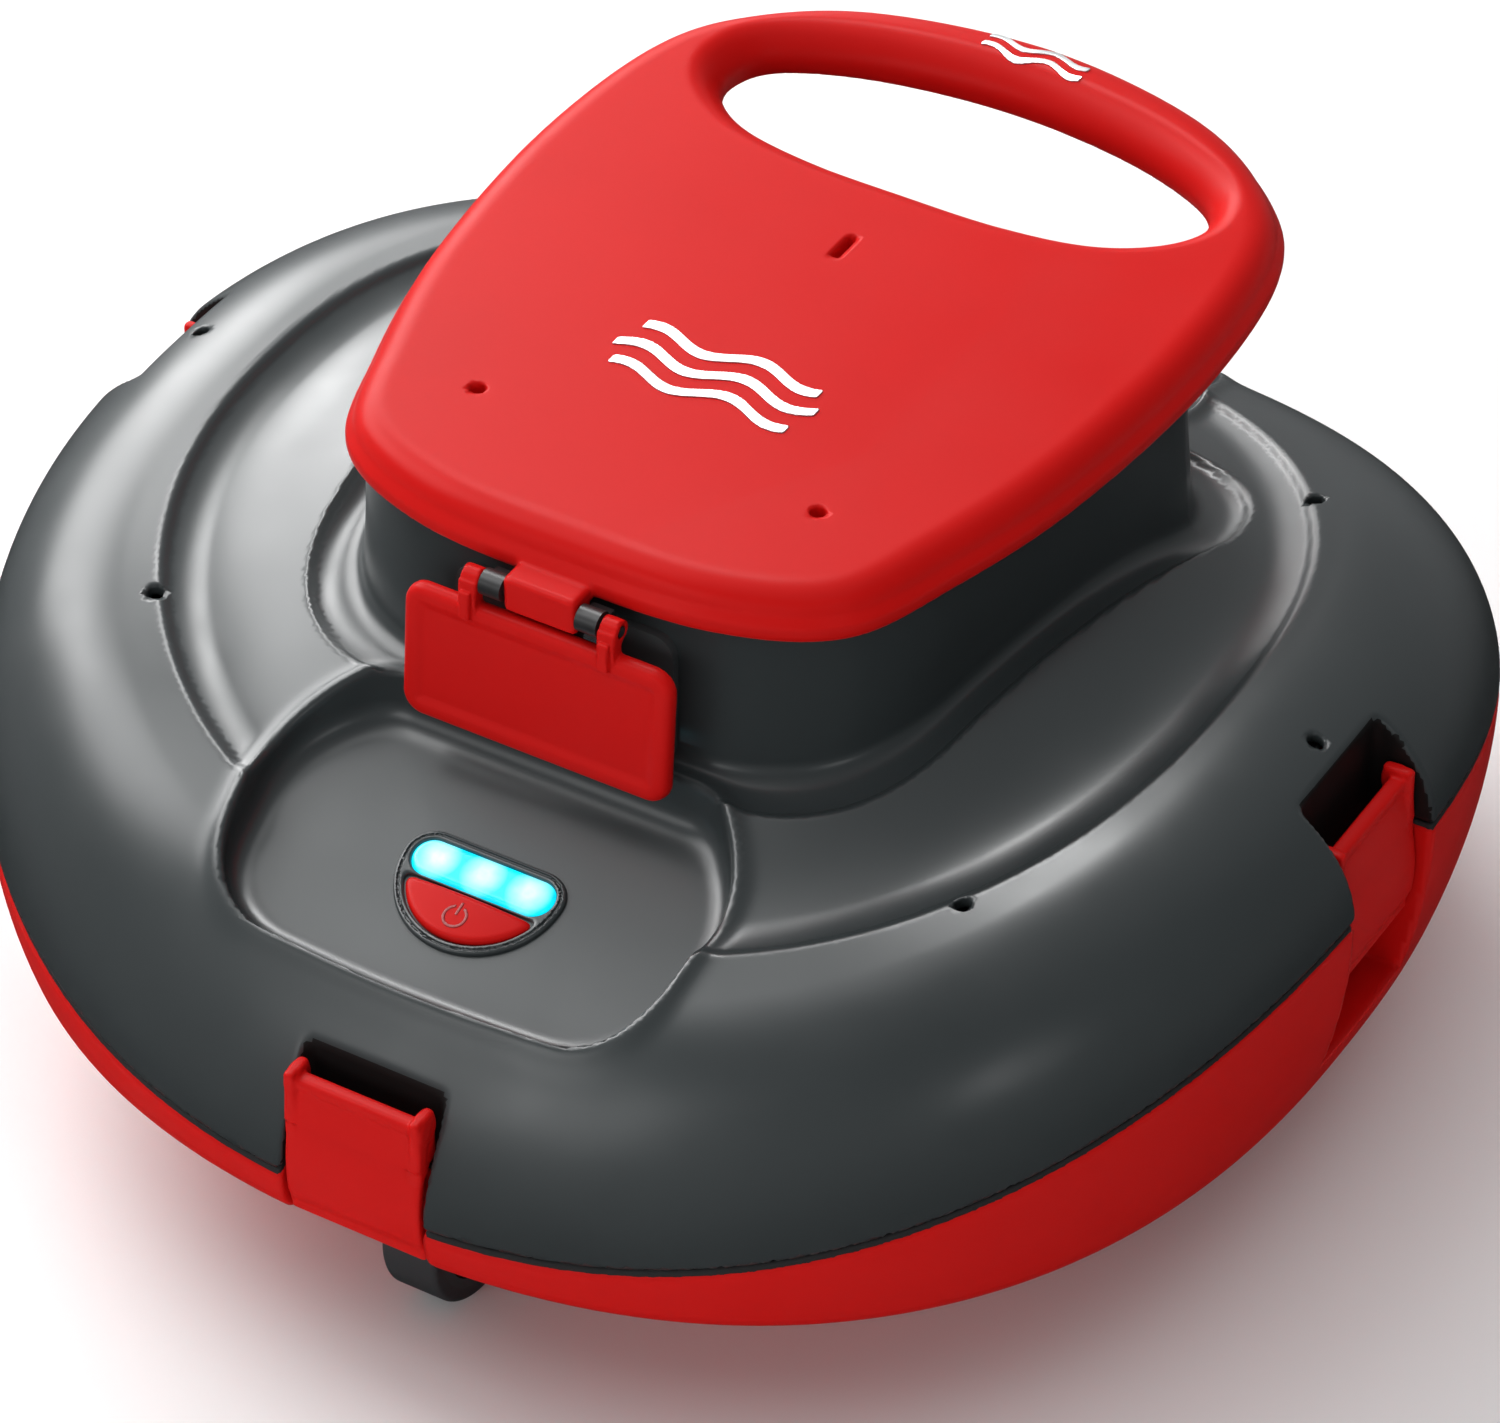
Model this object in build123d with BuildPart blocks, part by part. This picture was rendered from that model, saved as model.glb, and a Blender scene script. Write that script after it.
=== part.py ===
"""Cordless pool vacuum driven by two water jets.

Millimetres, +Z up. The origin is on the pool floor under the middle of the body.
The control panel faces the front, -Y, and the hand slot of the handle plate is at the back, +Y.
A low tub carries the wheels, the suction mouths and the filter. A domed upper shell, which lifts
off when four snap latches are open, carries the handle plate, the sealed motor box and two jets.
"""
import os
from math import cos, radians, sin, sqrt, tan

from build123d import *

os.makedirs("parts", exist_ok=True)

# ---- body
body_half = 185.0          # half width and half depth of the body, seen from above
bow_share = 0.32           # how far past the middle the side arcs are centred, as a share of the half
corner_share = 1.046       # reach of the round corners, as a share of the half
wall = 3.0                 # wall of the tub and of the upper shell
rim_z = 43.5               # underside of the tub's floor
split_z = 111.7            # parting line at the left and right sides
crown_z = 147.5            # top of the dome beside the neck
arch_radius = 360.0        # the parting line and the dome drop along this arc to front and back
edge_round = 30.0          # rounded shoulder of the dome
tub_round = 12.0           # rounded bottom edge of the tub
tub_draft = 4.0            # degrees
run_gap = 0.3              # gap between pieces that move past each other
fit_gap = 0.05             # radial clearance of a pin or shaft in its hole

# ---- neck and handle plate
neck_half = 86.0
neck_top_z = 183.4
neck_draft = 18.0
plate_thickness = 15.0
plate_top_round = 7.0
plate_edge_round = 3.0
slot_round = 4.0

# ---- lower tub under the floor, with the suction mouths
well_half = 98.0
well_bottom_z = 11.0
well_corner = 50.0
well_draft = 8.0
mouth_length = 110.0
mouth_width = 18.0
mouth_y = 38.0
valve_pin_radius = 1.6
valve_pin_rise = 2.4       # hinge of each valve above the tub's bottom plate
valve_thickness = 2.0

# ---- wheels
wheel_radius = 23.5
wheel_width = 16.0
tyre_depth = 4.0
axle_radius = 2.5
wheel_reach = 137.0        # front and rear wheels from the middle
side_wheel_reach = 125.0   # left and right wheels from the middle
wheel_play = 0.6           # beside each wheel
cheek_thickness = 3.0
cheek_radius = 8.0
hub_depth = 2.5            # rim of the wheel around its hollow side
web_half = 1.5
arch_play = 3.5            # around each wheel

# ---- latches
latch_width = 38.8
latch_height = 44.4
latch_thickness = 3.0
latch_lip = 6.0
latch_inset = 3.5          # outer face of the latch inside the body's side
latch_axle_radius = 1.5
latch_barrel_radius = 3.2
latch_axle_depth = 9.0     # hinge axis inside the body's side
latch_foot = 5.0           # latch below its hinge axis
latch_base_z = 47.1        # bottom of the front and rear latches
side_latch_rise = 35.0     # the side latches sit this much higher
recess_depth = 16.0
recess_play = 0.9          # beside each latch
finger_notch = 20.0        # free height under the side latches

# ---- scoops with their jet flaps
scoop_back = 84.0          # back wall of each scoop from the middle
scoop_front = 153.0
scoop_back_half = 60.0
scoop_front_half = 50.0
scoop_corner = 16.0
scoop_slope = 18.0         # degrees, floor falling outwards
scoop_floor_y = 126.0      # where the floor's height is given
scoop_floor_z = 115.4
rear_drop = 4.4            # the rear flap hangs this much lower, clear of the handle plate
flap_width = 76.0
flap_height = 38.0
flap_thickness = 3.5
flap_corner = 5.0
flap_pin_radius = 1.4
flap_pin_y = 89.5
flap_pin_z = 182.5
flap_clear = 6.0           # flap's top edge below its pin
barrel_radius = 3.4
barrel_length = 6.0
barrel_x = 13.6
lug_length = 5.0
jet_bore = 17.0            # bore radius of the jet duct
jet_z = 157.0
duct_length = 24.0
duct_width = 62.0
duct_height = 40.0

# ---- motor box and drive
box_half_x = 60.0
box_half_y = 50.0
box_wall = 2.5
box_bottom_z = 101.0
lid_thickness = 3.0
gasket_thickness = 1.2
flange = 6.0
motor_radius = 14.0
motor_length = 36.0
shaft_radius = 2.0
shaft_reach = 22.0
seal_radius = 6.0
seal_length = 4.0
prop_radius = 16.0
prop_hub = 5.0
prop_length = 11.0
cell_radius = 9.2
cell_length = 65.0

# ---- control panel on the front scoop's floor
panel_half = 22.6          # half width of the D-shaped panel
panel_low = 15.5           # the D's foot below its middle
panel_thickness = 2.4
window_length = 40.0
window_width = 10.5
window_shift = 6.5         # the window's middle above the panel's
window_frame = 2.6         # bezel around the window
led_pitch = 13.0
button_play = 0.35
button_travel = 1.2
button_proud = 1.0
button_frame = 3.0         # bezel around the button
button_low_gap = 1.0       # strip of bezel between the window and the button
plug_inset = 2.0           # the panel's plug inside its outline
board_depth = 13.0
board_thickness = 1.6
led_radius = 2.5
switch_height = 4.0
switch_y = -6.0            # switch and button stem below the panel's middle

# ---- screws and drain holes
handle_screw_radius = 2.0
box_screw_radius = 1.4
drain_radius = 1.9
drain_places = ((-162, 0), (162, 0), (-116, -89.5), (116, -89.5), (-116, 89.5), (116, 89.5))

# ---- charge socket on the rear scoop's floor
socket_bore = 3.2
socket_depth = 9.0
socket_body = 8.0          # radius of the socket's barrel, and of its hole
socket_length = 12.0
socket_flange = 11.0
socket_rim = 1.5
cap_radius = 9.0
cap_thickness = 2.4
cap_lug_x = 6.0            # hinge lugs beside the cap's strap
cap_hinge_y = 14.0
cap_hinge_h = 3.2
cap_pin_radius = 0.8

# ---- filter
filter_half = 103.0
filter_height = 24.0
filter_wall = 3.0
mesh_thickness = 1.2


def turned(x, y, quarter):
    """A point turned about the origin by quarter turns."""
    for _ in range(quarter % 4):
        x, y = -y, x
    return x, y


def plan(half):
    """The body's outline from above: four bowed sides and four round corners, all tangent arcs."""
    bow = bow_share * half
    reach = corner_share * half
    spare = half + bow - reach
    centre = (bow**2 - spare**2) / (2 * sqrt(2) * spare - 2 * bow)
    side_radius = half + bow
    length = sqrt(centre**2 + (centre + bow) ** 2)
    join_x = side_radius * centre / length
    join_y = bow - side_radius * (centre + bow) / length
    corner = reach / sqrt(2)
    with BuildSketch() as outline:
        with BuildLine():
            for quarter in range(4):
                ThreePointArc(turned(-join_x, join_y, quarter), turned(0, -half, quarter),
                              turned(join_x, join_y, quarter))
                ThreePointArc(turned(join_x, join_y, quarter), turned(corner, -corner, quarter),
                              turned(-join_y, -join_x, quarter))
        make_face()
    return outline.sketch


def arched(top_z, half_width=2 * body_half):
    """Everything under an arc that runs front to back and peaks at top_z."""
    barrel = Cylinder(arch_radius, 2 * half_width, rotation=(0, 90, 0), mode=Mode.PRIVATE)
    return Pos(0, 0, top_z - arch_radius) * barrel


def scoop(grow):
    """Space of the front scoop, grown by a wall: straight sides over a sloping floor."""
    back = -scoop_back + grow
    front = -scoop_front - grow
    with BuildPart() as space:
        with BuildSketch(Plane.XY.offset(rim_z)):
            with BuildLine():
                Polyline((-scoop_back_half - grow, back), (scoop_back_half + grow, back),
                         (scoop_front_half + grow, front), (-scoop_front_half - grow, front), close=True)
            corners = make_face()
            fillet(corners.vertices().group_by(Axis.Y)[0], scoop_corner + grow)
        extrude(amount=crown_z + 60 - rim_z)
        floor = Plane((0, -scoop_floor_y, scoop_floor_z), x_dir=(1, 0, 0),
                      z_dir=(0, -sin(radians(scoop_slope)), cos(radians(scoop_slope))))
        with BuildSketch(floor.offset(-grow)):
            Rectangle(4 * body_half, 4 * body_half)
        extrude(amount=-crown_z * 3, mode=Mode.SUBTRACT)
    return space.part


def latch_spaces(grow, low_front, low_side):
    """The four slots that the latches sit in, open upwards, grown by a wall."""
    spaces = []
    width = latch_width + 2 * recess_play + 2 * grow
    depth = recess_depth + grow
    for quarter, low in ((0, low_front), (1, low_side), (2, low_front), (3, low_side)):
        height = crown_z + 20 - low
        block = Box(width, depth + 20, height, mode=Mode.PRIVATE)
        place = Pos(0, -body_half + depth / 2 - 10, low - grow + height / 2)
        spaces.append(Rot(0, 0, 90 * quarter) * place * block)
    return spaces


def dome(inset):
    """The upper body inset by a wall, solid down to the tub's floor."""
    half = body_half - inset
    outline = plan(half)
    foot = plan(neck_half - inset)
    with BuildPart() as body:
        with BuildSketch(Plane.XY.offset(rim_z)):
            add(outline)
        extrude(amount=crown_z + 30 - rim_z)
        add(arched(crown_z - inset), mode=Mode.INTERSECT)
        top = body.faces().sort_by(Axis.Z)[-1]
        fillet(top.edges(), edge_round - inset)
        with BuildSketch(Plane.XY.offset(neck_top_z - inset)):
            add(foot)
        extrude(amount=-(neck_top_z - inset - crown_z + 22), taper=-neck_draft)
        add(scoop(inset), mode=Mode.SUBTRACT)
        add(Rot(0, 0, 180) * scoop(inset), mode=Mode.SUBTRACT)
        for space in latch_spaces(inset, rim_z - 20, rim_z - 20):
            add(space, mode=Mode.SUBTRACT)
    return body.part


def scoop_plane(side, height=0.0):
    """The sloping floor of the front scoop (side -1) or the rear one (side 1), raised by height."""
    lean = radians(scoop_slope)
    floor = Plane((0, side * scoop_floor_y, scoop_floor_z), x_dir=(-side, 0, 0),
                  z_dir=(0, side * sin(lean), cos(lean)))
    return floor.offset(height)


def tub_form(inset):
    """The tub inset by a wall, before its top is cut to the arch."""
    foot_half = body_half - tan(radians(tub_draft)) * (split_z - rim_z)
    outline = plan(foot_half - inset)
    latch_low = latch_base_z + side_latch_rise - finger_notch
    with BuildPart() as body:
        with BuildSketch(Plane.XY.offset(rim_z + inset)):
            add(outline)
        extrude(amount=split_z + 10 - rim_z, taper=-tub_draft)
        fillet(body.edges().group_by(Axis.Z)[0], tub_round - inset)
        with BuildSketch(Plane.XY.offset(rim_z + inset + wall)):
            RectangleRounded(2 * (well_half - inset), 2 * (well_half - inset), well_corner - inset)
        extrude(amount=-(rim_z + wall - well_bottom_z), taper=well_draft)
        for x, y in wheel_places:
            with Locations((x, y, wheel_radius)):
                Cylinder(wheel_radius + arch_play + inset, wheel_width + 2 * (wheel_play + inset),
                         rotation=(0, 90, 0), mode=Mode.SUBTRACT)
        for space in latch_spaces(inset, rim_z - 20, latch_low):
            add(space, mode=Mode.SUBTRACT)
    return body.part


wheel_places = ((0, -wheel_reach), (0, wheel_reach), (-side_wheel_reach, 0), (side_wheel_reach, 0))
wheel_names = ("front", "rear", "left", "right")
latch_turns = {"front": 0, "right": 90, "rear": 180, "left": 270}
latch_y = -body_half + latch_inset                  # outer face of the front latch
latch_axle_y = -body_half + latch_axle_depth
latch_axle_z = latch_base_z + latch_foot
ceiling_z = neck_top_z - wall
lid_z = ceiling_z - lid_thickness
gasket_z = lid_z - gasket_thickness
mouth_hinge_y = mouth_width / 2 + 5
mouth_floor_z = well_bottom_z + wall
seal_height = 1.2


def latch_rise(name):
    return side_latch_rise if name in ("left", "right") else 0.0


def latch_place(name):
    """Moves what is drawn at the front latch to the named latch."""
    return Rot(0, 0, latch_turns[name]) * Pos(0, 0, latch_rise(name))


# ---- tub
tub_outer = tub_form(0)
tub_inner = tub_form(wall)
tub_top_z = split_z - run_gap / 2 - seal_height

with BuildPart() as tub_shell:
    add(tub_outer)
    add(tub_inner, mode=Mode.SUBTRACT)
    add(arched(tub_top_z), mode=Mode.INTERSECT)
    # two cheeks carry each wheel's axle
    for x, y in wheel_places:
        for side in (-1, 1):
            cheek_x = x + side * (wheel_width / 2 + wheel_play + cheek_thickness / 2)
            with Locations((cheek_x, y, (wheel_radius + rim_z + wall / 2) / 2)):
                Box(cheek_thickness, 2 * cheek_radius, rim_z + wall / 2 - wheel_radius)
            with Locations((cheek_x, y, wheel_radius)):
                Cylinder(cheek_radius, cheek_thickness, rotation=(0, 90, 0))
        with Locations((x, y, wheel_radius)):
            Cylinder(axle_radius, wheel_width + 4 * cheek_thickness, rotation=(0, 90, 0), mode=Mode.SUBTRACT)
    # suction mouths and the bosses of their valves
    for side in (-1, 1):
        with Locations((0, side * mouth_y, mouth_floor_z - wall / 2)):
            Box(mouth_length, mouth_width, 3 * wall, mode=Mode.SUBTRACT)
        for end in (-1, 1):
            with Locations((end * (mouth_length / 2 + 6.5), side * (mouth_y + mouth_hinge_y), mouth_floor_z + 3)):
                Box(5, 7, 6)
        with Locations((0, side * (mouth_y + mouth_hinge_y), mouth_floor_z + valve_pin_rise)):
            Cylinder(valve_pin_radius + fit_gap, mouth_length + 16, rotation=(0, 90, 0), mode=Mode.SUBTRACT)
    for name in latch_turns:
        hole = Cylinder(latch_axle_radius, latch_width + 2 * recess_play + 2 * wall,
                        rotation=(0, 90, 0), mode=Mode.PRIVATE)
        add(latch_place(name) * Pos(0, latch_axle_y, latch_axle_z) * hole, mode=Mode.SUBTRACT)
tub_shell.part.label = "tub_shell"
export_step(tub_shell.part, "parts/tub_shell.step")

seal_outer = tub_form(0.6)
seal_inner = tub_form(2.4)
with BuildPart() as rim_seal:
    add(seal_outer)
    add(seal_inner, mode=Mode.SUBTRACT)
    add(arched(split_z - run_gap / 2), mode=Mode.INTERSECT)
    add(arched(tub_top_z), mode=Mode.SUBTRACT)
rim_seal.part.label = "rim_seal"
export_step(rim_seal.part, "parts/rim_seal.step")

# ---- latches
for name in latch_turns:
    with BuildPart(mode=Mode.PRIVATE) as latch_form:
        with Locations((0, latch_y + latch_thickness / 2, latch_base_z + latch_height / 2)):
            Box(latch_width, latch_thickness, latch_height)
        with Locations((0, latch_y + latch_lip / 2, latch_base_z + latch_height - latch_thickness / 2)):
            Box(latch_width, latch_lip, latch_thickness)
        for side in (-1, 1):
            with Locations((side * (latch_width / 2 - 1.5), latch_y + 4.5, latch_base_z + latch_height - 2)):
                Box(3, 9, 8)
        with Locations((0, (latch_y + latch_axle_y) / 2, latch_axle_z)):
            Box(latch_width, latch_axle_y - latch_y, 2 * latch_barrel_radius)
        with Locations((0, latch_axle_y, latch_axle_z)):
            Cylinder(latch_barrel_radius, latch_width, rotation=(0, 90, 0))
            Cylinder(latch_axle_radius + fit_gap, latch_width, rotation=(0, 90, 0), mode=Mode.SUBTRACT)
        fillet(latch_form.edges().filter_by(Axis.X).group_by(Axis.Y)[0], 0.9)
    with BuildPart() as latch:
        add(latch_place(name) * latch_form.part)
    latch.part.label = f"latch_{name}"
    export_step(latch.part, f"parts/latch_{name}.step")

with BuildPart() as latch_pins:
    for name in latch_turns:
        pin = Cylinder(latch_axle_radius, latch_width + 2 * recess_play + 2 * wall,
                       rotation=(0, 90, 0), mode=Mode.PRIVATE)
        add(latch_place(name) * Pos(0, latch_axle_y, latch_axle_z) * pin)
latch_pins.part.label = "latch_pins"
export_step(latch_pins.part, "parts/latch_pins.step")

# ---- wheels
for name, (x, y) in zip(wheel_names, wheel_places):
    with BuildPart() as wheel:
        with BuildSketch(Plane((x - wheel_width / 2, y, wheel_radius), x_dir=(0, 1, 0), z_dir=(1, 0, 0))):
            Circle(wheel_radius - tyre_depth)
            Circle(axle_radius + fit_gap, mode=Mode.SUBTRACT)
        extrude(amount=wheel_width)
        for side in (-1, 1):
            face = Plane((x + side * wheel_width / 2, y, wheel_radius), x_dir=(0, side, 0), z_dir=(side, 0, 0))
            with BuildSketch(face):
                Circle(wheel_radius - tyre_depth - hub_depth)
                Circle(axle_radius + hub_depth, mode=Mode.SUBTRACT)
            extrude(amount=-(wheel_width / 2 - web_half), mode=Mode.SUBTRACT)
    wheel.part.label = f"wheel_{name}"
    export_step(wheel.part, f"parts/wheel_{name}.step")

    with BuildPart() as tyre:
        with BuildSketch(Plane((x - wheel_width / 2, y, wheel_radius), x_dir=(0, 1, 0), z_dir=(1, 0, 0))):
            Circle(wheel_radius)
            Circle(wheel_radius - tyre_depth, mode=Mode.SUBTRACT)
        extrude(amount=wheel_width)
        outer_edges = tyre.edges().filter_by(GeomType.CIRCLE).sort_by(SortBy.RADIUS)[-2:]
        fillet(outer_edges, 1.5)
    tyre.part.label = f"tyre_{name}"
    export_step(tyre.part, f"parts/tyre_{name}.step")

with BuildPart() as wheel_axles:
    for x, y in wheel_places:
        with Locations((x, y, wheel_radius)):
            Cylinder(axle_radius, wheel_width + 2 * (wheel_play + cheek_thickness), rotation=(0, 90, 0))
wheel_axles.part.label = "wheel_axles"
export_step(wheel_axles.part, "parts/wheel_axles.step")

# ---- valves over the suction mouths
for name, side in (("front", -1), ("rear", 1)):
    hinge_y = side * (mouth_y + mouth_hinge_y)
    inner_y = side * (mouth_y - mouth_width / 2 - 3)
    with BuildPart() as valve:
        with Locations((0, (hinge_y + inner_y) / 2, mouth_floor_z + run_gap + valve_thickness / 2)):
            Box(mouth_length + 6, abs(hinge_y - inner_y), valve_thickness)
        with Locations((0, hinge_y, mouth_floor_z + valve_pin_rise)):
            Cylinder(valve_pin_radius, mouth_length + 16, rotation=(0, 90, 0))
    valve.part.label = f"inlet_valve_{name}"
    export_step(valve.part, f"parts/inlet_valve_{name}.step")

# ---- filter
with BuildPart() as filter_tray:
    with BuildSketch(Plane.XY.offset(rim_z + wall)):
        RectangleRounded(2 * filter_half, 2 * filter_half, well_corner)
    extrude(amount=filter_height)
    with BuildSketch(Plane.XY.offset(rim_z + 2 * wall)):
        RectangleRounded(2 * (filter_half - filter_wall), 2 * (filter_half - filter_wall), well_corner - filter_wall)
    extrude(amount=filter_height, mode=Mode.SUBTRACT)
    with BuildSketch(Plane.XY.offset(rim_z)):
        for quarter_x in (-1, 1):
            for quarter_y in (-1, 1):
                with Locations((quarter_x * filter_half * 0.43, quarter_y * filter_half * 0.43)):
                    RectangleRounded(filter_half * 0.82, filter_half * 0.82, 12)
    extrude(amount=3 * wall, mode=Mode.SUBTRACT)
filter_tray.part.label = "filter_tray"
export_step(filter_tray.part, "parts/filter_tray.step")

with BuildPart() as filter_mesh:
    with BuildSketch(Plane.XY.offset(rim_z + 2 * wall)):
        RectangleRounded(2 * (filter_half - filter_wall), 2 * (filter_half - filter_wall), well_corner - filter_wall)
    extrude(amount=mesh_thickness)
filter_mesh.part.label = "filter_mesh"
export_step(filter_mesh.part, "parts/filter_mesh.step")

# ---- upper shell
dome_outer = dome(0)
dome_inner = dome(wall)
handle_screw_x = box_half_x + flange + 4
handle_screw_places = [(sx * handle_screw_x, sy * 20.0) for sx in (-1, 1) for sy in (-1, 1)]
box_screw_places = [(sx * (box_half_x + flange / 2), sy * (box_half_y - 12)) for sx in (-1, 1) for sy in (-1, 1)]
box_screw_places += [(sx * (box_half_x - 20), sy * (box_half_y + flange / 2)) for sx in (-1, 1) for sy in (-1, 1)]


def panel_form(grow):
    """The panel's D: a slot around the window with a half ellipse below it."""
    with BuildSketch() as outline:
        with Locations((0, window_shift)):
            Ellipse(panel_half + grow, panel_low + window_shift + grow)
        with Locations((0, window_shift + panel_half)):
            Rectangle(4 * panel_half, 2 * panel_half, mode=Mode.SUBTRACT)
        with Locations((0, window_shift)):
            SlotOverall(2 * (panel_half + grow), window_width + 2 * (window_frame + grow))
    return outline.sketch


def half_moon(grow):
    """The power button's outline: the foot of the D, with rounded corners."""
    chord = window_shift - window_width / 2 - button_low_gap + grow
    with BuildSketch() as outline:
        with Locations((0, window_shift)):
            Ellipse(panel_half - button_frame + grow, panel_low + window_shift - button_frame + grow)
        with Locations((0, chord + panel_half)):
            Rectangle(4 * panel_half, 2 * panel_half, mode=Mode.SUBTRACT)
        fillet(outline.vertices(), 1.2)
    return outline.sketch


panel_outline = panel_form(0)
plug_outline = panel_form(-plug_inset)
moon_hole = half_moon(button_play)
moon = half_moon(0)

with BuildPart() as upper_shell:
    add(dome_outer)
    add(dome_inner, mode=Mode.SUBTRACT)
    add(arched(split_z + run_gap / 2), mode=Mode.SUBTRACT)
    # jet outlets through the back walls of the scoops
    with Locations((0, 0, jet_z)):
        Cylinder(jet_bore, 2 * scoop_back + 4, rotation=(90, 0, 0), mode=Mode.SUBTRACT)
    # panel hole in the front scoop, charge socket hole in the rear one
    with BuildSketch(scoop_plane(-1, 1)):
        add(plug_outline)
    extrude(amount=-3 * wall, mode=Mode.SUBTRACT)
    with BuildSketch(scoop_plane(1, 1)):
        Circle(socket_body)
    extrude(amount=-3 * wall, mode=Mode.SUBTRACT)
    # drain holes
    with Locations(*[(x, y, crown_z) for x, y in drain_places]):
        Cylinder(drain_radius, 60, mode=Mode.SUBTRACT)
    with Locations(*[(x, y, ceiling_z + wall / 2) for x, y in handle_screw_places]):
        Cylinder(handle_screw_radius, 3 * wall, mode=Mode.SUBTRACT)
    with Locations(*[(x, y, ceiling_z + 0.5) for x, y in box_screw_places]):
        Cylinder(box_screw_radius, 4, mode=Mode.SUBTRACT)
upper_shell.part.label = "upper_shell"
export_step(upper_shell.part, "parts/upper_shell.step")

# ---- handle plate
plate_outline = ((0, -84), (41, -81.5), (71, -67), (84, -36), (94, 5), (98.5, 60), (93.5, 108), (78, 134),
                 (48, 153), (0, 161))
hand_slot_outline = ((0, 86), (27, 86.6), (50, 91), (65, 101), (69.5, 113), (62, 125.5), (36, 135.5), (0, 139.5))


def mirrored(points):
    """Half an outline, from the front to the back, followed by its mirror image."""
    return [*points, *((-x, y) for x, y in reversed(points[1:-1]))]


with BuildPart() as handle_plate:
    with BuildSketch(Plane.XY.offset(neck_top_z)):
        with BuildLine():
            Spline(mirrored(plate_outline), periodic=True)
        make_face()
    extrude(amount=plate_thickness)
    fillet(handle_plate.faces().sort_by(Axis.Z)[-1].edges(), plate_top_round)
    fillet(handle_plate.faces().sort_by(Axis.Z)[0].edges(), plate_edge_round)
    with BuildSketch(Plane.XY.offset(neck_top_z)):
        with BuildLine():
            Spline(mirrored(hand_slot_outline), periodic=True)
        make_face()
    extrude(amount=plate_thickness, mode=Mode.SUBTRACT)
    slot_rim = handle_plate.faces().sort_by(Axis.Z)[-1].edges().sort_by(Edge.length)
    fillet([edge for edge in slot_rim if 100 < edge.bounding_box().size.X < 150], slot_round)
    with Locations((-48.3, -42.2, neck_top_z + plate_thickness), (48.3, -42.2, neck_top_z + plate_thickness)):
        Cylinder(2.0, 10, mode=Mode.SUBTRACT)
    with Locations((0, 52, neck_top_z + plate_thickness)):
        Box(2.4, 10, 10, mode=Mode.SUBTRACT)
    with Locations(*[(x, y, neck_top_z + 4.5) for x, y in handle_screw_places]):
        Cylinder(handle_screw_radius, 9, mode=Mode.SUBTRACT)
handle_plate.part.label = "handle_plate"
export_step(handle_plate.part, "parts/handle_plate.step")

with BuildPart() as handle_screws:
    for x, y in handle_screw_places:
        with Locations((x, y, ceiling_z - 1.2)):
            Cylinder(3.4, 2.4)
        with Locations((x, y, ceiling_z + 6)):
            Cylinder(handle_screw_radius, 12)
handle_screws.part.label = "handle_screws"
export_step(handle_screws.part, "parts/handle_screws.step")

# ---- jet flaps, front and rear
for name, side, drop in (("front", -1, 0.0), ("rear", 1, rear_drop)):
    pin_z = flap_pin_z - drop
    lean = radians(6.0)
    turn = 0 if side < 0 else 180
    hang = Plane((0, -flap_pin_y, pin_z), x_dir=(1, 0, 0), z_dir=(0, -cos(lean), sin(lean)))
    with BuildPart(mode=Mode.PRIVATE) as flap_form:
        with BuildSketch(hang.offset(-0.5)):
            with Locations((0, -flap_clear - flap_height / 2)):
                RectangleRounded(flap_width, flap_height, flap_corner)
        extrude(amount=flap_thickness)
        face = flap_form.faces().sort_by(Axis.Y)[0]
        fillet(face.edges(), 1.2)
        for end in (-1, 1):
            lug_x = end * (barrel_x + barrel_length / 2 + 0.5 + lug_length / 2)
            with BuildSketch(hang.offset(-0.5)):
                with Locations((lug_x, -flap_clear / 2 - 1.5)):
                    Rectangle(lug_length, flap_clear + 3)
            extrude(amount=3)
            with Locations((lug_x, -flap_pin_y, pin_z)):
                Cylinder(3.0, lug_length, rotation=(0, 90, 0))
                Cylinder(flap_pin_radius + fit_gap, lug_length + 1, rotation=(0, 90, 0), mode=Mode.SUBTRACT)
    with BuildPart() as jet_flap:
        add(Rot(0, 0, turn) * flap_form.part)
    jet_flap.part.label = f"jet_flap_{name}"
    export_step(jet_flap.part, f"parts/jet_flap_{name}.step")

    with BuildPart(mode=Mode.PRIVATE) as clip_form:
        for end in (-1, 1):
            with Locations((end * barrel_x, -flap_pin_y, pin_z)):
                Cylinder(barrel_radius, barrel_length, rotation=(0, 90, 0))
            with Locations((end * barrel_x, -(flap_pin_y + scoop_back) / 2, pin_z - 1.2)):
                Box(barrel_length, flap_pin_y - scoop_back, 4.0)
            with Locations((end * barrel_x, -flap_pin_y, pin_z)):
                Cylinder(flap_pin_radius, barrel_length + 1, rotation=(0, 90, 0), mode=Mode.SUBTRACT)
    with BuildPart() as flap_clips:
        add(Rot(0, 0, turn) * clip_form.part)
    flap_clips.part.label = f"flap_clips_{name}"
    export_step(flap_clips.part, f"parts/flap_clips_{name}.step")

    with BuildPart() as flap_pin:
        with Locations((0, side * flap_pin_y, pin_z)):
            Cylinder(flap_pin_radius, 2 * (barrel_x + barrel_length / 2 + 0.5 + lug_length), rotation=(0, 90, 0))
    flap_pin.part.label = f"flap_pin_{name}"
    export_step(flap_pin.part, f"parts/flap_pin_{name}.step")

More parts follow.
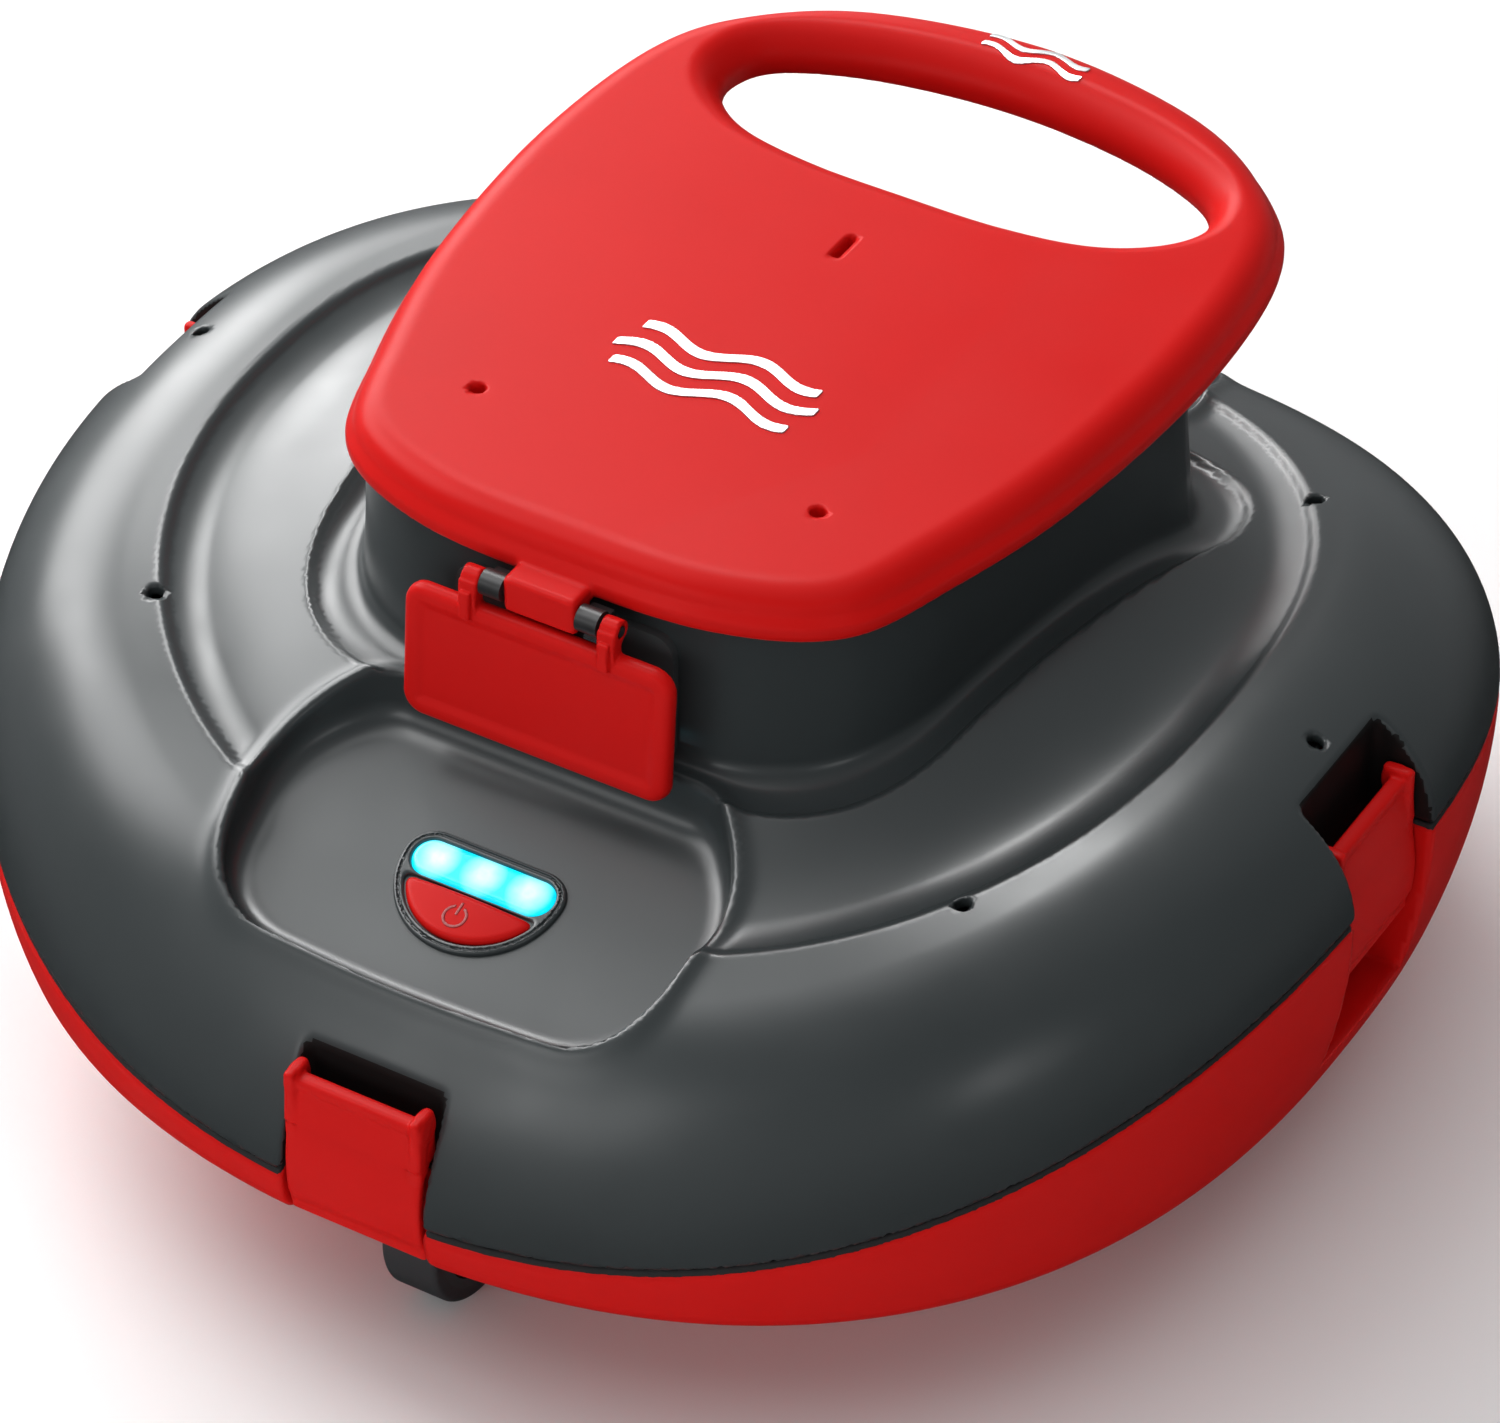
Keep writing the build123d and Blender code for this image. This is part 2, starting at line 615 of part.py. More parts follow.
# ---- jet ducts, propellers, motors, shafts and seals
duct_back = scoop_back - wall
for name, side in (("front", -1), ("rear", 1)):
    wall_plane = Plane((0, side * duct_back, jet_z), x_dir=(-side, 0, 0), z_dir=(0, side, 0))
    with BuildPart() as duct:
        with BuildSketch(wall_plane):
            RectangleRounded(duct_width, duct_height, 6)
        extrude(amount=-duct_length)
        with BuildSketch(wall_plane):
            Circle(jet_bore)
        extrude(amount=-duct_length, mode=Mode.SUBTRACT)
    duct.part.label = f"jet_duct_{name}"
    export_step(duct.part, f"parts/jet_duct_{name}.step")

    motor_front_y = box_half_y - box_wall
    shaft_end = motor_front_y + shaft_reach
    with BuildPart() as prop:
        with Locations((0, side * (shaft_end - prop_length / 2), jet_z)):
            Cylinder(prop_hub, prop_length, rotation=(90, 0, 0))
        for blade in range(3):
            slab = Box(prop_radius - 2, 1.6, prop_length - 2, mode=Mode.PRIVATE)
            pitched = Pos(prop_hub + (prop_radius - prop_hub) / 2 - 1.5, 0, 0) * Rot(48, 0, 0) * slab
            add(Pos(0, side * (shaft_end - prop_length / 2), jet_z) * Rot(90, 0, 0) * Rot(0, 0, 120 * blade)
                * pitched)
        with Locations((0, side * (shaft_end - prop_length / 2), jet_z)):
            Cylinder(shaft_radius, prop_length, rotation=(90, 0, 0), mode=Mode.SUBTRACT)
    prop.part.label = f"propeller_{name}"
    export_step(prop.part, f"parts/propeller_{name}.step")

    with BuildPart() as shaft:
        with Locations((0, side * (shaft_end + motor_front_y - 8) / 2, jet_z)):
            Cylinder(shaft_radius, shaft_reach + 8, rotation=(90, 0, 0))
    shaft.part.label = f"prop_shaft_{name}"
    export_step(shaft.part, f"parts/prop_shaft_{name}.step")

    with BuildPart() as motor:
        with Locations((0, side * (motor_front_y - motor_length / 2), jet_z)):
            Cylinder(motor_radius, motor_length, rotation=(90, 0, 0))
        with Locations((0, side * (motor_front_y - 5), jet_z)):
            Cylinder(shaft_radius + fit_gap, 10, rotation=(90, 0, 0), mode=Mode.SUBTRACT)
    motor.part.label = f"motor_{name}"
    export_step(motor.part, f"parts/motor_{name}.step")

    with BuildPart() as seal:
        with Locations((0, side * (motor_front_y + seal_length / 2), jet_z)):
            Cylinder(seal_radius, seal_length, rotation=(90, 0, 0))
            Cylinder(shaft_radius + fit_gap, seal_length + 1, rotation=(90, 0, 0), mode=Mode.SUBTRACT)
    seal.part.label = f"shaft_seal_{name}"
    export_step(seal.part, f"parts/shaft_seal_{name}.step")

# ---- sealed motor box
with BuildPart() as motor_box:
    with BuildSketch(Plane.XY.offset(box_bottom_z)):
        Rectangle(2 * box_half_x, 2 * box_half_y)
    extrude(amount=gasket_z - box_bottom_z)
    fillet(motor_box.edges().filter_by(Axis.Z), 8)
    with BuildSketch(Plane.XY.offset(gasket_z)):
        RectangleRounded(2 * (box_half_x + flange), 2 * (box_half_y + flange), 12)
    extrude(amount=-2.5)
    with BuildSketch(Plane.XY.offset(box_bottom_z + box_wall)):
        RectangleRounded(2 * (box_half_x - box_wall), 2 * (box_half_y - box_wall), 8 - box_wall)
    extrude(amount=100, mode=Mode.SUBTRACT)
    with Locations((0, 0, jet_z)):
        Cylinder(seal_radius, 2 * box_half_y + 10, rotation=(90, 0, 0), mode=Mode.SUBTRACT)
    with Locations(*[(x, y, gasket_z) for x, y in box_screw_places]):
        Cylinder(box_screw_radius, 10, mode=Mode.SUBTRACT)
motor_box.part.label = "motor_box"
export_step(motor_box.part, "parts/motor_box.step")

with BuildPart() as box_gasket:
    with BuildSketch(Plane.XY.offset(gasket_z)):
        RectangleRounded(2 * (box_half_x + flange), 2 * (box_half_y + flange), 12)
        RectangleRounded(2 * (box_half_x - box_wall), 2 * (box_half_y - box_wall), 8 - box_wall, mode=Mode.SUBTRACT)
        with Locations(*box_screw_places):
            Circle(box_screw_radius, mode=Mode.SUBTRACT)
    extrude(amount=gasket_thickness)
box_gasket.part.label = "box_gasket"
export_step(box_gasket.part, "parts/box_gasket.step")

with BuildPart() as box_lid:
    with BuildSketch(Plane.XY.offset(lid_z)):
        RectangleRounded(2 * (box_half_x + flange), 2 * (box_half_y + flange), 12)
        with Locations(*box_screw_places):
            Circle(box_screw_radius, mode=Mode.SUBTRACT)
    extrude(amount=lid_thickness)
box_lid.part.label = "box_lid"
export_step(box_lid.part, "parts/box_lid.step")

with BuildPart() as box_screws:
    for x, y in box_screw_places:
        with Locations((x, y, gasket_z - 2.5 - 1)):
            Cylinder(2.6, 2)
        with Locations((x, y, (gasket_z - 2.5 + ceiling_z + 2.5) / 2)):
            Cylinder(box_screw_radius, ceiling_z + 5 - gasket_z)
box_screws.part.label = "box_screws"
export_step(box_screws.part, "parts/box_screws.step")

cell_rows = [(row_y * (2 * cell_radius + 1), box_bottom_z + box_wall + cell_radius + layer * (2 * cell_radius + 0.4))
             for row_y in (-1, 0, 1) for layer in (0, 1)]
cradle_height = 4 * cell_radius + 0.4
with BuildPart() as battery_cells:
    for y, z in cell_rows:
        with Locations((0, y, z)):
            Cylinder(cell_radius, cell_length, rotation=(0, 90, 0))
battery_cells.part.label = "battery_cells"
export_step(battery_cells.part, "parts/battery_cells.step")

with BuildPart() as battery_cradle:
    for end in (-1, 1):
        with Locations((end * (cell_length / 2 + 1.5), 0, box_bottom_z + box_wall + cradle_height / 2)):
            Box(3, 6 * cell_radius + 4, cradle_height)
battery_cradle.part.label = "battery_cradle"
export_step(battery_cradle.part, "parts/battery_cradle.step")

with BuildPart() as main_board:
    with Locations((47, 0, box_bottom_z + box_wall + 19)):
        Box(1.6, 80, 38)
main_board.part.label = "main_board"
export_step(main_board.part, "parts/main_board.step")

# ---- foam floats under the dome
float_form = dome(wall + run_gap)
for name, side in (("left", -1), ("right", 1)):
    with BuildPart() as foam:
        with Locations((side * 124, 0, crown_z - 12)):
            Box(52, 112, 36)
        add(float_form, mode=Mode.INTERSECT)
    foam.part.label = f"float_{name}"
    export_step(foam.part, f"parts/float_{name}.step")

# ---- control panel
pod_outline = panel_form(1.5)
pod_inner = panel_form(-0.5)
board_outline = panel_form(-0.8)
with BuildPart() as panel_bezel:
    with BuildSketch(scoop_plane(-1)):
        add(panel_outline)
    extrude(amount=panel_thickness / 2)
    with BuildSketch(scoop_plane(-1)):
        add(plug_outline)
    extrude(amount=-wall)
    with BuildSketch(scoop_plane(-1, panel_thickness)):
        add(moon_hole)
        with Locations((0, window_shift)):
            SlotOverall(window_length, window_width)
    extrude(amount=-3 * wall, mode=Mode.SUBTRACT)
panel_bezel.part.label = "panel_bezel"
export_step(panel_bezel.part, "parts/panel_bezel.step")

with BuildPart() as led_window:
    with BuildSketch(scoop_plane(-1, panel_thickness / 2 + 0.3)):
        with Locations((0, window_shift)):
            SlotOverall(window_length, window_width)
    extrude(amount=-3)
led_window.part.label = "led_window"
export_step(led_window.part, "parts/led_window.step")

with BuildPart() as panel_pod:
    with BuildSketch(scoop_plane(-1, -wall)):
        add(pod_outline)
    extrude(amount=-board_depth)
    with BuildSketch(scoop_plane(-1, -wall)):
        add(pod_inner)
    extrude(amount=-(board_depth - 2), mode=Mode.SUBTRACT)
panel_pod.part.label = "panel_pod"
export_step(panel_pod.part, "parts/panel_pod.step")

board_top = -wall - board_depth + 2 + board_thickness
with BuildPart() as panel_board:
    with BuildSketch(scoop_plane(-1, board_top)):
        add(board_outline)
    extrude(amount=-board_thickness)
panel_board.part.label = "panel_board"
export_step(panel_board.part, "parts/panel_board.step")

with BuildPart() as leds:
    with BuildSketch(scoop_plane(-1, board_top)):
        with Locations(*[(step * led_pitch, window_shift) for step in (-1, 0, 1)]):
            Circle(led_radius)
    extrude(amount=7)
leds.part.label = "leds"
export_step(leds.part, "parts/leds.step")

with BuildPart() as power_switch:
    with BuildSketch(scoop_plane(-1, board_top)):
        with Locations((0, switch_y)):
            Rectangle(7, 7)
    extrude(amount=switch_height)
power_switch.part.label = "power_switch"
export_step(power_switch.part, "parts/power_switch.step")

with BuildPart() as power_button:
    with BuildSketch(scoop_plane(-1, panel_thickness / 2 + button_proud)):
        add(moon)
    extrude(amount=-4.5)
    with BuildSketch(scoop_plane(-1, -1)):
        with Locations((0, switch_y)):
            Circle(2.5)
    extrude(amount=-(-1 - board_top - switch_height - button_travel - 0.1))
power_button.part.label = "power_button"
export_step(power_button.part, "parts/power_button.step")

# ---- charge socket and its rubber cap on the rear scoop's floor
with BuildPart() as charge_socket:
    with BuildSketch(scoop_plane(1)):
        Circle(socket_body)
    extrude(amount=-socket_length)
    with BuildSketch(scoop_plane(1)):
        Circle(socket_flange)
    extrude(amount=socket_rim)
    with BuildSketch(scoop_plane(1, socket_rim)):
        Circle(socket_bore)
    extrude(amount=-socket_depth, mode=Mode.SUBTRACT)
    with BuildSketch(scoop_plane(1)):
        with Locations((-cap_lug_x, cap_hinge_y - 1.3), (cap_lug_x, cap_hinge_y - 1.3)):
            Rectangle(3, 7)
    extrude(amount=cap_hinge_h + 1.8)
    hinge_hole = Cylinder(cap_pin_radius + fit_gap, 2 * cap_lug_x + 6, rotation=(0, 90, 0), mode=Mode.PRIVATE)
    add(scoop_plane(1).location * Pos(0, cap_hinge_y, cap_hinge_h) * hinge_hole, mode=Mode.SUBTRACT)
charge_socket.part.label = "charge_socket"
export_step(charge_socket.part, "parts/charge_socket.step")

with BuildPart() as charge_cap:
    with BuildSketch(scoop_plane(1, socket_rim + run_gap)):
        Circle(cap_radius)
        with Locations((0, cap_hinge_y / 2)):
            Rectangle(2 * cap_lug_x - 3 - 2 * run_gap, cap_hinge_y)
    extrude(amount=cap_thickness)
    tongue = Cylinder(1.6, 2 * cap_lug_x - 3 - 2 * run_gap, rotation=(0, 90, 0), mode=Mode.PRIVATE)
    add(scoop_plane(1).location * Pos(0, cap_hinge_y, cap_hinge_h) * tongue)
    trunnion = Cylinder(cap_pin_radius, 2 * cap_lug_x + 3, rotation=(0, 90, 0), mode=Mode.PRIVATE)
    add(scoop_plane(1).location * Pos(0, cap_hinge_y, cap_hinge_h) * trunnion)
charge_cap.part.label = "charge_cap"
export_step(charge_cap.part, "parts/charge_cap.step")
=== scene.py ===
"""The looks of the cordless pool vacuum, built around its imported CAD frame.

Each large moulding is described by a field: a function of x, y and z in millimetres that is negative
inside the plastic and positive outside, near to the distance in mm. Rounded unions and cuts of such
fields give the soft edges of moulded plastic, and surface_net() turns a field into a closed mesh.
"""
import math

import bpy
import numpy as np
from mathutils import Matrix, Vector


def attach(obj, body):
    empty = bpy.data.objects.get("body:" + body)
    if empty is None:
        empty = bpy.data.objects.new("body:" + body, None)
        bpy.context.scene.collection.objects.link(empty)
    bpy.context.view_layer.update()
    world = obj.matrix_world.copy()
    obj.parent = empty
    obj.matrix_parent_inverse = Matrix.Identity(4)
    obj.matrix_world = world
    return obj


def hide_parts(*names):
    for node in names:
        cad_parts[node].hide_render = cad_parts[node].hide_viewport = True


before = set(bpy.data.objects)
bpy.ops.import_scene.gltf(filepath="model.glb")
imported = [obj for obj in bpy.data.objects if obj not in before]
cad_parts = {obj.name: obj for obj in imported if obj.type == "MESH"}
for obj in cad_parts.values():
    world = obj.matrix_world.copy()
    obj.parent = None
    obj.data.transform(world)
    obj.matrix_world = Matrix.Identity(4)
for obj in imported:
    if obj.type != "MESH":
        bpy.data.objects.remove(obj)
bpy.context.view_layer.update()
MM = 0.001


# ---------------------------------------------------------------- fields
def either(a, b, soft=0.0):
    """Union of two fields, blended over about soft mm."""
    if soft <= 0:
        return np.minimum(a, b)
    blend = np.maximum(soft - np.abs(a - b), 0.0) / soft
    return np.minimum(a, b) - blend * blend * soft / 4


def both(a, b, soft=0.0):
    """Intersection of two fields, its edge rounded over about soft mm."""
    return -either(-a, -b, soft)


def cut(a, b, soft=0.0):
    """Field a without field b."""
    return both(a, -b, soft)


def step_up(value, width):
    """Smooth rise from 0 to 1 as value goes from 0 to width."""
    t = np.clip(value / width, 0.0, 1.0)
    return t * t * (3 - 2 * t)


def fall_off(value, width):
    """Rise from 0 to 1 that starts steeply, with only its first corner softened, and ends level."""
    t = np.clip(value / width, 0.0, 1.0)
    return (1 - (1 - t) ** 2) * step_up(t, 0.3)


def block(x, y, z, centre, size, soft=0.0):
    """Box with its edges rounded."""
    sides = [np.abs(p - c) - s / 2 for p, c, s in zip((x, y, z), centre, size)]
    return both(both(sides[0], sides[1], soft), sides[2], soft)


def rod(a, b, radius):
    """Cylinder through the origin of its two cross coordinates."""
    return np.hypot(a, b) - radius


def loop_distance(points):
    """Signed distance to a closed smooth curve through the points, as a function of x and y."""
    points = np.array(points, float)
    count = len(points)
    t = np.arange(0, count, 0.05)
    base = t.astype(int)
    s = (t - base)[:, None]
    p0, p1, p2, p3 = (points[(base + k) % count] for k in (-1, 0, 1, 2))
    curve = 0.5 * (2 * p1 + (p2 - p0) * s + (2 * p0 - 5 * p1 + 4 * p2 - p3) * s**2
                   + (3 * p1 - p0 - 3 * p2 + p3) * s**3)
    low = curve.min(0) - 30
    cells = np.ceil(curve.max(0) + 30 - low).astype(int) + 1
    gx, gy = np.meshgrid(low[0] + np.arange(cells[0]), low[1] + np.arange(cells[1]), indexing="ij")
    nearest = np.full(gx.shape, 1e9)
    inside = np.zeros(gx.shape, bool)
    for a, b in zip(curve, np.roll(curve, -1, 0)):
        run = b - a
        along = np.clip(((gx - a[0]) * run[0] + (gy - a[1]) * run[1]) / run.dot(run), 0, 1)
        nearest = np.minimum(nearest, np.hypot(gx - a[0] - along * run[0], gy - a[1] - along * run[1]))
        if a[1] != b[1]:
            crosses = (a[1] > gy) != (b[1] > gy)
            inside ^= crosses & (gx < a[0] + (gy - a[1]) * run[0] / run[1])
    table = np.where(inside, -nearest, nearest)

    def distance(x, y):
        u = np.clip(x - low[0], 0, cells[0] - 1.001)
        v = np.clip(y - low[1], 0, cells[1] - 1.001)
        i, j = u.astype(int), v.astype(int)
        s, t = u - i, v - j
        return ((table[i, j] * (1 - s) + table[i + 1, j] * s) * (1 - t)
                + (table[i, j + 1] * (1 - s) + table[i + 1, j + 1] * s) * t)
    return distance


def surface_net(field, low, high, step):
    """Vertices and quads of a field's zero surface inside a box."""
    low = np.array(low, float)
    counts = np.ceil((np.array(high, float) - low) / step).astype(int) + 1
    axes = [low[i] + step * np.arange(counts[i]) for i in range(3)]
    gx, gy = np.meshgrid(axes[0], axes[1], indexing="ij")
    values = np.empty(counts, np.float32)
    for k, z in enumerate(axes[2]):
        values[:, :, k] = field(gx, gy, np.full(gx.shape, z))
    inside = values < 0
    cell = tuple(counts - 1)
    corners = [(a, b, c) for a in (0, 1) for b in (0, 1) for c in (0, 1)]

    def corner(grid, a, b, c):
        return grid[a:a + cell[0], b:b + cell[1], c:c + cell[2]]
    filled = sum(corner(inside, *c).astype(np.uint8) for c in corners)
    spots = np.array(np.nonzero((filled > 0) & (filled < 8)))
    index = np.full(cell, -1)
    index[tuple(spots)] = np.arange(spots.shape[1])
    around = [values[spots[0] + a, spots[1] + b, spots[2] + c] for a, b, c in corners]
    total = np.zeros((spots.shape[1], 3))
    hits = np.zeros(spots.shape[1])
    for m, start in enumerate(corners):
        for n, end in enumerate(corners):
            if m < n and sum(abs(p - q) for p, q in zip(start, end)) == 1:
                crosses = (around[m] < 0) != (around[n] < 0)
                share = np.where(crosses, around[m] / np.where(crosses, around[m] - around[n], 1), 0)
                point = np.array(start) + share[:, None] * (np.array(end) - np.array(start))
                total += np.where(crosses[:, None], point, 0)
                hits += crosses
    points = low + step * (spots.T + total / hits[:, None])
    quads = []
    for axis in range(3):
        u, v = (axis + 1) % 3, (axis + 2) % 3
        ahead = [slice(None)] * 3
        here = [slice(None)] * 3
        ahead[axis], here[axis] = slice(1, None), slice(0, -1)
        edge = np.array(np.nonzero(inside[tuple(here)] != inside[tuple(ahead)]))
        rising = inside[tuple(edge)]
        ring = []
        for du, dv in ((1, 1), (0, 1), (0, 0), (1, 0)):
            place = edge.copy()
            place[u] -= du
            place[v] -= dv
            ring.append(index[tuple(place)])
        ring = np.array(ring).T
        quads.append(np.where(rising[:, None], ring, ring[:, ::-1]))
    return points, np.concatenate(quads)


def slope_of(field, points, reach):
    """Gradient of a field at points."""
    result = np.empty_like(points)
    for axis in range(3):
        ahead, behind = points.copy(), points.copy()
        ahead[:, axis] += reach
        behind[:, axis] -= reach
        result[:, axis] = (field(*ahead.T) - field(*behind.T)) / (2 * reach)
    return result


def relaxed(field, points, quads, step):
    """Evens the mesh out and puts its vertices on the surface."""
    for round_ in range(4):
        if round_ < 2:
            total = np.zeros_like(points)
            count = np.zeros(len(points))
            for k in range(4):
                for other in (1, 3):
                    np.add.at(total, quads[:, k], points[quads[:, (k + other) % 4]])
                    np.add.at(count, quads[:, k], 1)
            points = points + 0.6 * (total / count[:, None] - points)
        slope = slope_of(field, points, 0.05)
        size = np.maximum(np.linalg.norm(slope, axis=1), 0.2)
        shift = np.clip(field(*points.T) / size, -step / 2, step / 2)
        points = points - slope * (shift / size)[:, None]
    return points


def moulded(name, field, low, high, step, body, materials, pick=None, cad=()):
    """Makes a piece from a field and hides the CAD parts it covers. Low, high and step are in mm."""
    points, quads = surface_net(field, low, high, step)
    points = relaxed(field, points, quads, step)
    mesh = bpy.data.meshes.new(name)
    mesh.from_pydata((points * MM).tolist(), [], quads.tolist())
    mesh.validate()
    for material in materials:
        mesh.materials.append(material)
    if pick is not None:
        middle = points[quads].mean(1)
        mesh.polygons.foreach_set("material_index", pick(*middle.T).astype(np.int32))
    mesh.shade_smooth()
    normals = slope_of(field, points, 0.15)
    normals /= np.maximum(np.linalg.norm(normals, axis=1, keepdims=True), 1e-9)
    mesh.normals_split_custom_set_from_vertices(normals.tolist())
    piece = bpy.data.objects.new(name, mesh)
    bpy.context.scene.collection.objects.link(piece)
    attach(piece, body)
    if cad:
        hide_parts(*cad)


# ---------------------------------------------------------------- materials
def shader(name):
    """New node material with its main shader and a coordinate node."""
    material = bpy.data.materials.new(name)
    material.use_nodes = True
    nodes, links = material.node_tree.nodes, material.node_tree.links
    return material, nodes, links, nodes["Principled BSDF"], nodes.new("ShaderNodeTexCoord")


def noise(nodes, links, place, scale, detail=3.0):
    """Noise texture in object space; scale is in cycles a metre."""
    texture = nodes.new("ShaderNodeTexNoise")
    texture.inputs["Scale"].default_value = scale
    texture.inputs["Detail"].default_value = detail
    links.new(place.outputs["Object"], texture.inputs["Vector"])
    return texture.outputs["Fac"]


def spread(nodes, links, source, low, high, source_low=0.3, source_high=0.7):
    """Maps a texture's range to another range."""
    node = nodes.new("ShaderNodeMapRange")
    node.inputs["From Min"].default_value = source_low
    node.inputs["From Max"].default_value = source_high
    node.inputs["To Min"].default_value = low
    node.inputs["To Max"].default_value = high
    links.new(source, node.inputs["Value"])
    return node.outputs["Result"]


def mixed(nodes, links, factor, a, b):
    """Mixes two colours, each a tuple or a socket."""
    node = nodes.new("ShaderNodeMix")
    node.data_type = "RGBA"
    links.new(factor, node.inputs[0])
    for socket, value in ((node.inputs[6], a), (node.inputs[7], b)):
        if isinstance(value, tuple):
            socket.default_value = (*value, 1)
        else:
            links.new(value, socket)
    return node.outputs[2]


def bumped(nodes, links, surface, height, strength, distance):
    """Bump on a shader from a height texture."""
    bump = nodes.new("ShaderNodeBump")
    bump.inputs["Strength"].default_value = strength
    bump.inputs["Distance"].default_value = distance
    links.new(height, bump.inputs["Height"])
    links.new(bump.outputs["Normal"], surface.inputs["Normal"])


def plastic(name, colour, rough, shade=0.88, worn=1.5, grain=1800.0, grain_depth=0.25, gloss=0.5):
    """Moulded plastic: faint colour drift, fine grain, uneven gloss and rubbed edges."""
    material, nodes, links, surface, place = shader(name)
    drift = spread(nodes, links, noise(nodes, links, place, 14.0), 0.0, 1.0)
    dark = tuple(c * shade for c in colour)
    body = mixed(nodes, links, drift, colour, dark)
    edge = nodes.new("ShaderNodeNewGeometry").outputs["Pointiness"]
    rubbed = spread(nodes, links, edge, 0.0, 0.3, 0.57, 0.7)
    light = tuple(min(1.0, c * worn + 0.01) for c in colour)
    links.new(mixed(nodes, links, rubbed, body, light), surface.inputs["Base Color"])
    patches = noise(nodes, links, place, 45.0, 2.0)
    uneven = spread(nodes, links, patches, rough - 0.05, rough + 0.06, 0.1, 0.9)
    links.new(uneven, surface.inputs["Roughness"])
    bumped(nodes, links, surface, noise(nodes, links, place, grain, 2.0), grain_depth, 0.00004)
    surface.inputs["Specular IOR Level"].default_value = gloss
    return material


def metal(name, colour, rough):
    """Turned or drawn metal with fine streaks."""
    material, nodes, links, surface, place = shader(name)
    stretch = nodes.new("ShaderNodeMapping")
    stretch.inputs["Scale"].default_value = (0.02, 1, 1)
    links.new(place.outputs["Object"], stretch.inputs["Vector"])
    streaks = nodes.new("ShaderNodeTexNoise")
    streaks.inputs["Scale"].default_value = 1500
    links.new(stretch.outputs["Vector"], streaks.inputs["Vector"])
    tint = spread(nodes, links, streaks.outputs["Fac"], 0.0, 1.0)
    links.new(mixed(nodes, links, tint, colour, tuple(c * 0.8 for c in colour)), surface.inputs["Base Color"])
    links.new(spread(nodes, links, streaks.outputs["Fac"], rough, rough + 0.15), surface.inputs["Roughness"])
    bumped(nodes, links, surface, streaks.outputs["Fac"], 0.15, 0.00003)
    surface.inputs["Metallic"].default_value = 1.0
    return material


def woven(name, colour, pitch):
    """Fine net with threads both ways."""
    material, nodes, links, surface, place = shader(name)
    threads = []
    for direction in ("X", "Y"):
        wave = nodes.new("ShaderNodeTexWave")
        wave.bands_direction = direction
        wave.inputs["Scale"].default_value = 0.314 / pitch
        links.new(place.outputs["Object"], wave.inputs["Vector"])
        threads.append(wave.outputs["Fac"])
    net = nodes.new("ShaderNodeMath")
    net.operation = "MAXIMUM"
    links.new(threads[0], net.inputs[0])
    links.new(threads[1], net.inputs[1])
    links.new(mixed(nodes, links, net.outputs[0], tuple(c * 0.25 for c in colour), colour),
              surface.inputs["Base Color"])
    bumped(nodes, links, surface, net.outputs[0], 0.6, 0.0003)
    surface.inputs["Roughness"].default_value = 0.7
    return material


def lit(name, centres, reach, colour, hot, strength):
    """Glowing window with a hot spot over each lamp."""
    material, nodes, links, surface, place = shader(name)
    near = None
    for centre in centres:
        gap = nodes.new("ShaderNodeVectorMath")
        gap.operation = "DISTANCE"
        links.new(place.outputs["Object"], gap.inputs[0])
        gap.inputs[1].default_value = centre
        spot = spread(nodes, links, gap.outputs["Value"], 1.0, 0.0, reach * 0.25, reach)
        if near is None:
            near = spot
        else:
            join = nodes.new("ShaderNodeMath")
            join.operation = "MAXIMUM"
            links.new(near, join.inputs[0])
            links.new(spot, join.inputs[1])
            near = join.outputs[0]
    cloudy = spread(nodes, links, noise(nodes, links, place, 240.0), 0.75, 1.1)
    power = nodes.new("ShaderNodeMath")
    power.operation = "MULTIPLY"
    links.new(cloudy, power.inputs[0])
    power.inputs[1].default_value = strength
    links.new(power.outputs[0], surface.inputs["Emission Strength"])
    glow = mixed(nodes, links, near, colour, hot)
    links.new(glow, surface.inputs["Emission Color"])
    surface.inputs["Base Color"].default_value = (*(c * 0.3 for c in colour), 1)
    surface.inputs["Roughness"].default_value = 0.25
    return material


charcoal = plastic("charcoal_plastic", (0.034, 0.041, 0.043), 0.31, worn=1.2, grain_depth=0.1, gloss=0.62)
# near-black painted shade, laid on the shell's faces inside the latch slots
painted_slot_shade = plastic("painted_slot_shade", (0.009, 0.008, 0.008), 0.55, gloss=0.2)
inner_grey = plastic("inner_grey", (0.05, 0.055, 0.057), 0.5)
red = plastic("red_plastic", (0.60, 0.007, 0.006), 0.36, shade=0.94, worn=1.1, grain_depth=0.1, gloss=0.07)
deep_red = plastic("deep_red_plastic", (0.33, 0.008, 0.008), 0.4)
black = plastic("black_plastic", (0.018, 0.018, 0.019), 0.38)
rubber = plastic("rubber", (0.022, 0.022, 0.023), 0.72, grain=900.0, grain_depth=0.6, gloss=0.3)
tyre_rubber = plastic("tyre_rubber", (0.045, 0.047, 0.05), 0.5, grain=700.0, grain_depth=0.7)
foam = plastic("foam", (0.75, 0.75, 0.72), 0.85, grain=500.0, grain_depth=1.0)
board_green = plastic("board_green", (0.02, 0.14, 0.07), 0.4, shade=0.6, grain=300.0)
cell_wrap = plastic("cell_wrap", (0.03, 0.12, 0.3), 0.3)
steel = metal("stainless_steel", (0.62, 0.62, 0.63), 0.22)
motor_steel = metal("plated_steel", (0.42, 0.43, 0.45), 0.32)
silver = metal("silver_print", (0.82, 0.83, 0.84), 0.28)
net_mesh = woven("nylon_net", (0.6, 0.62, 0.64), 0.0016)


def paint(material, *names):
    """Gives carried-over CAD nodes their material."""
    for name in names:
        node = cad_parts[name]
        node.data.materials.clear()
        node.data.materials.append(material)


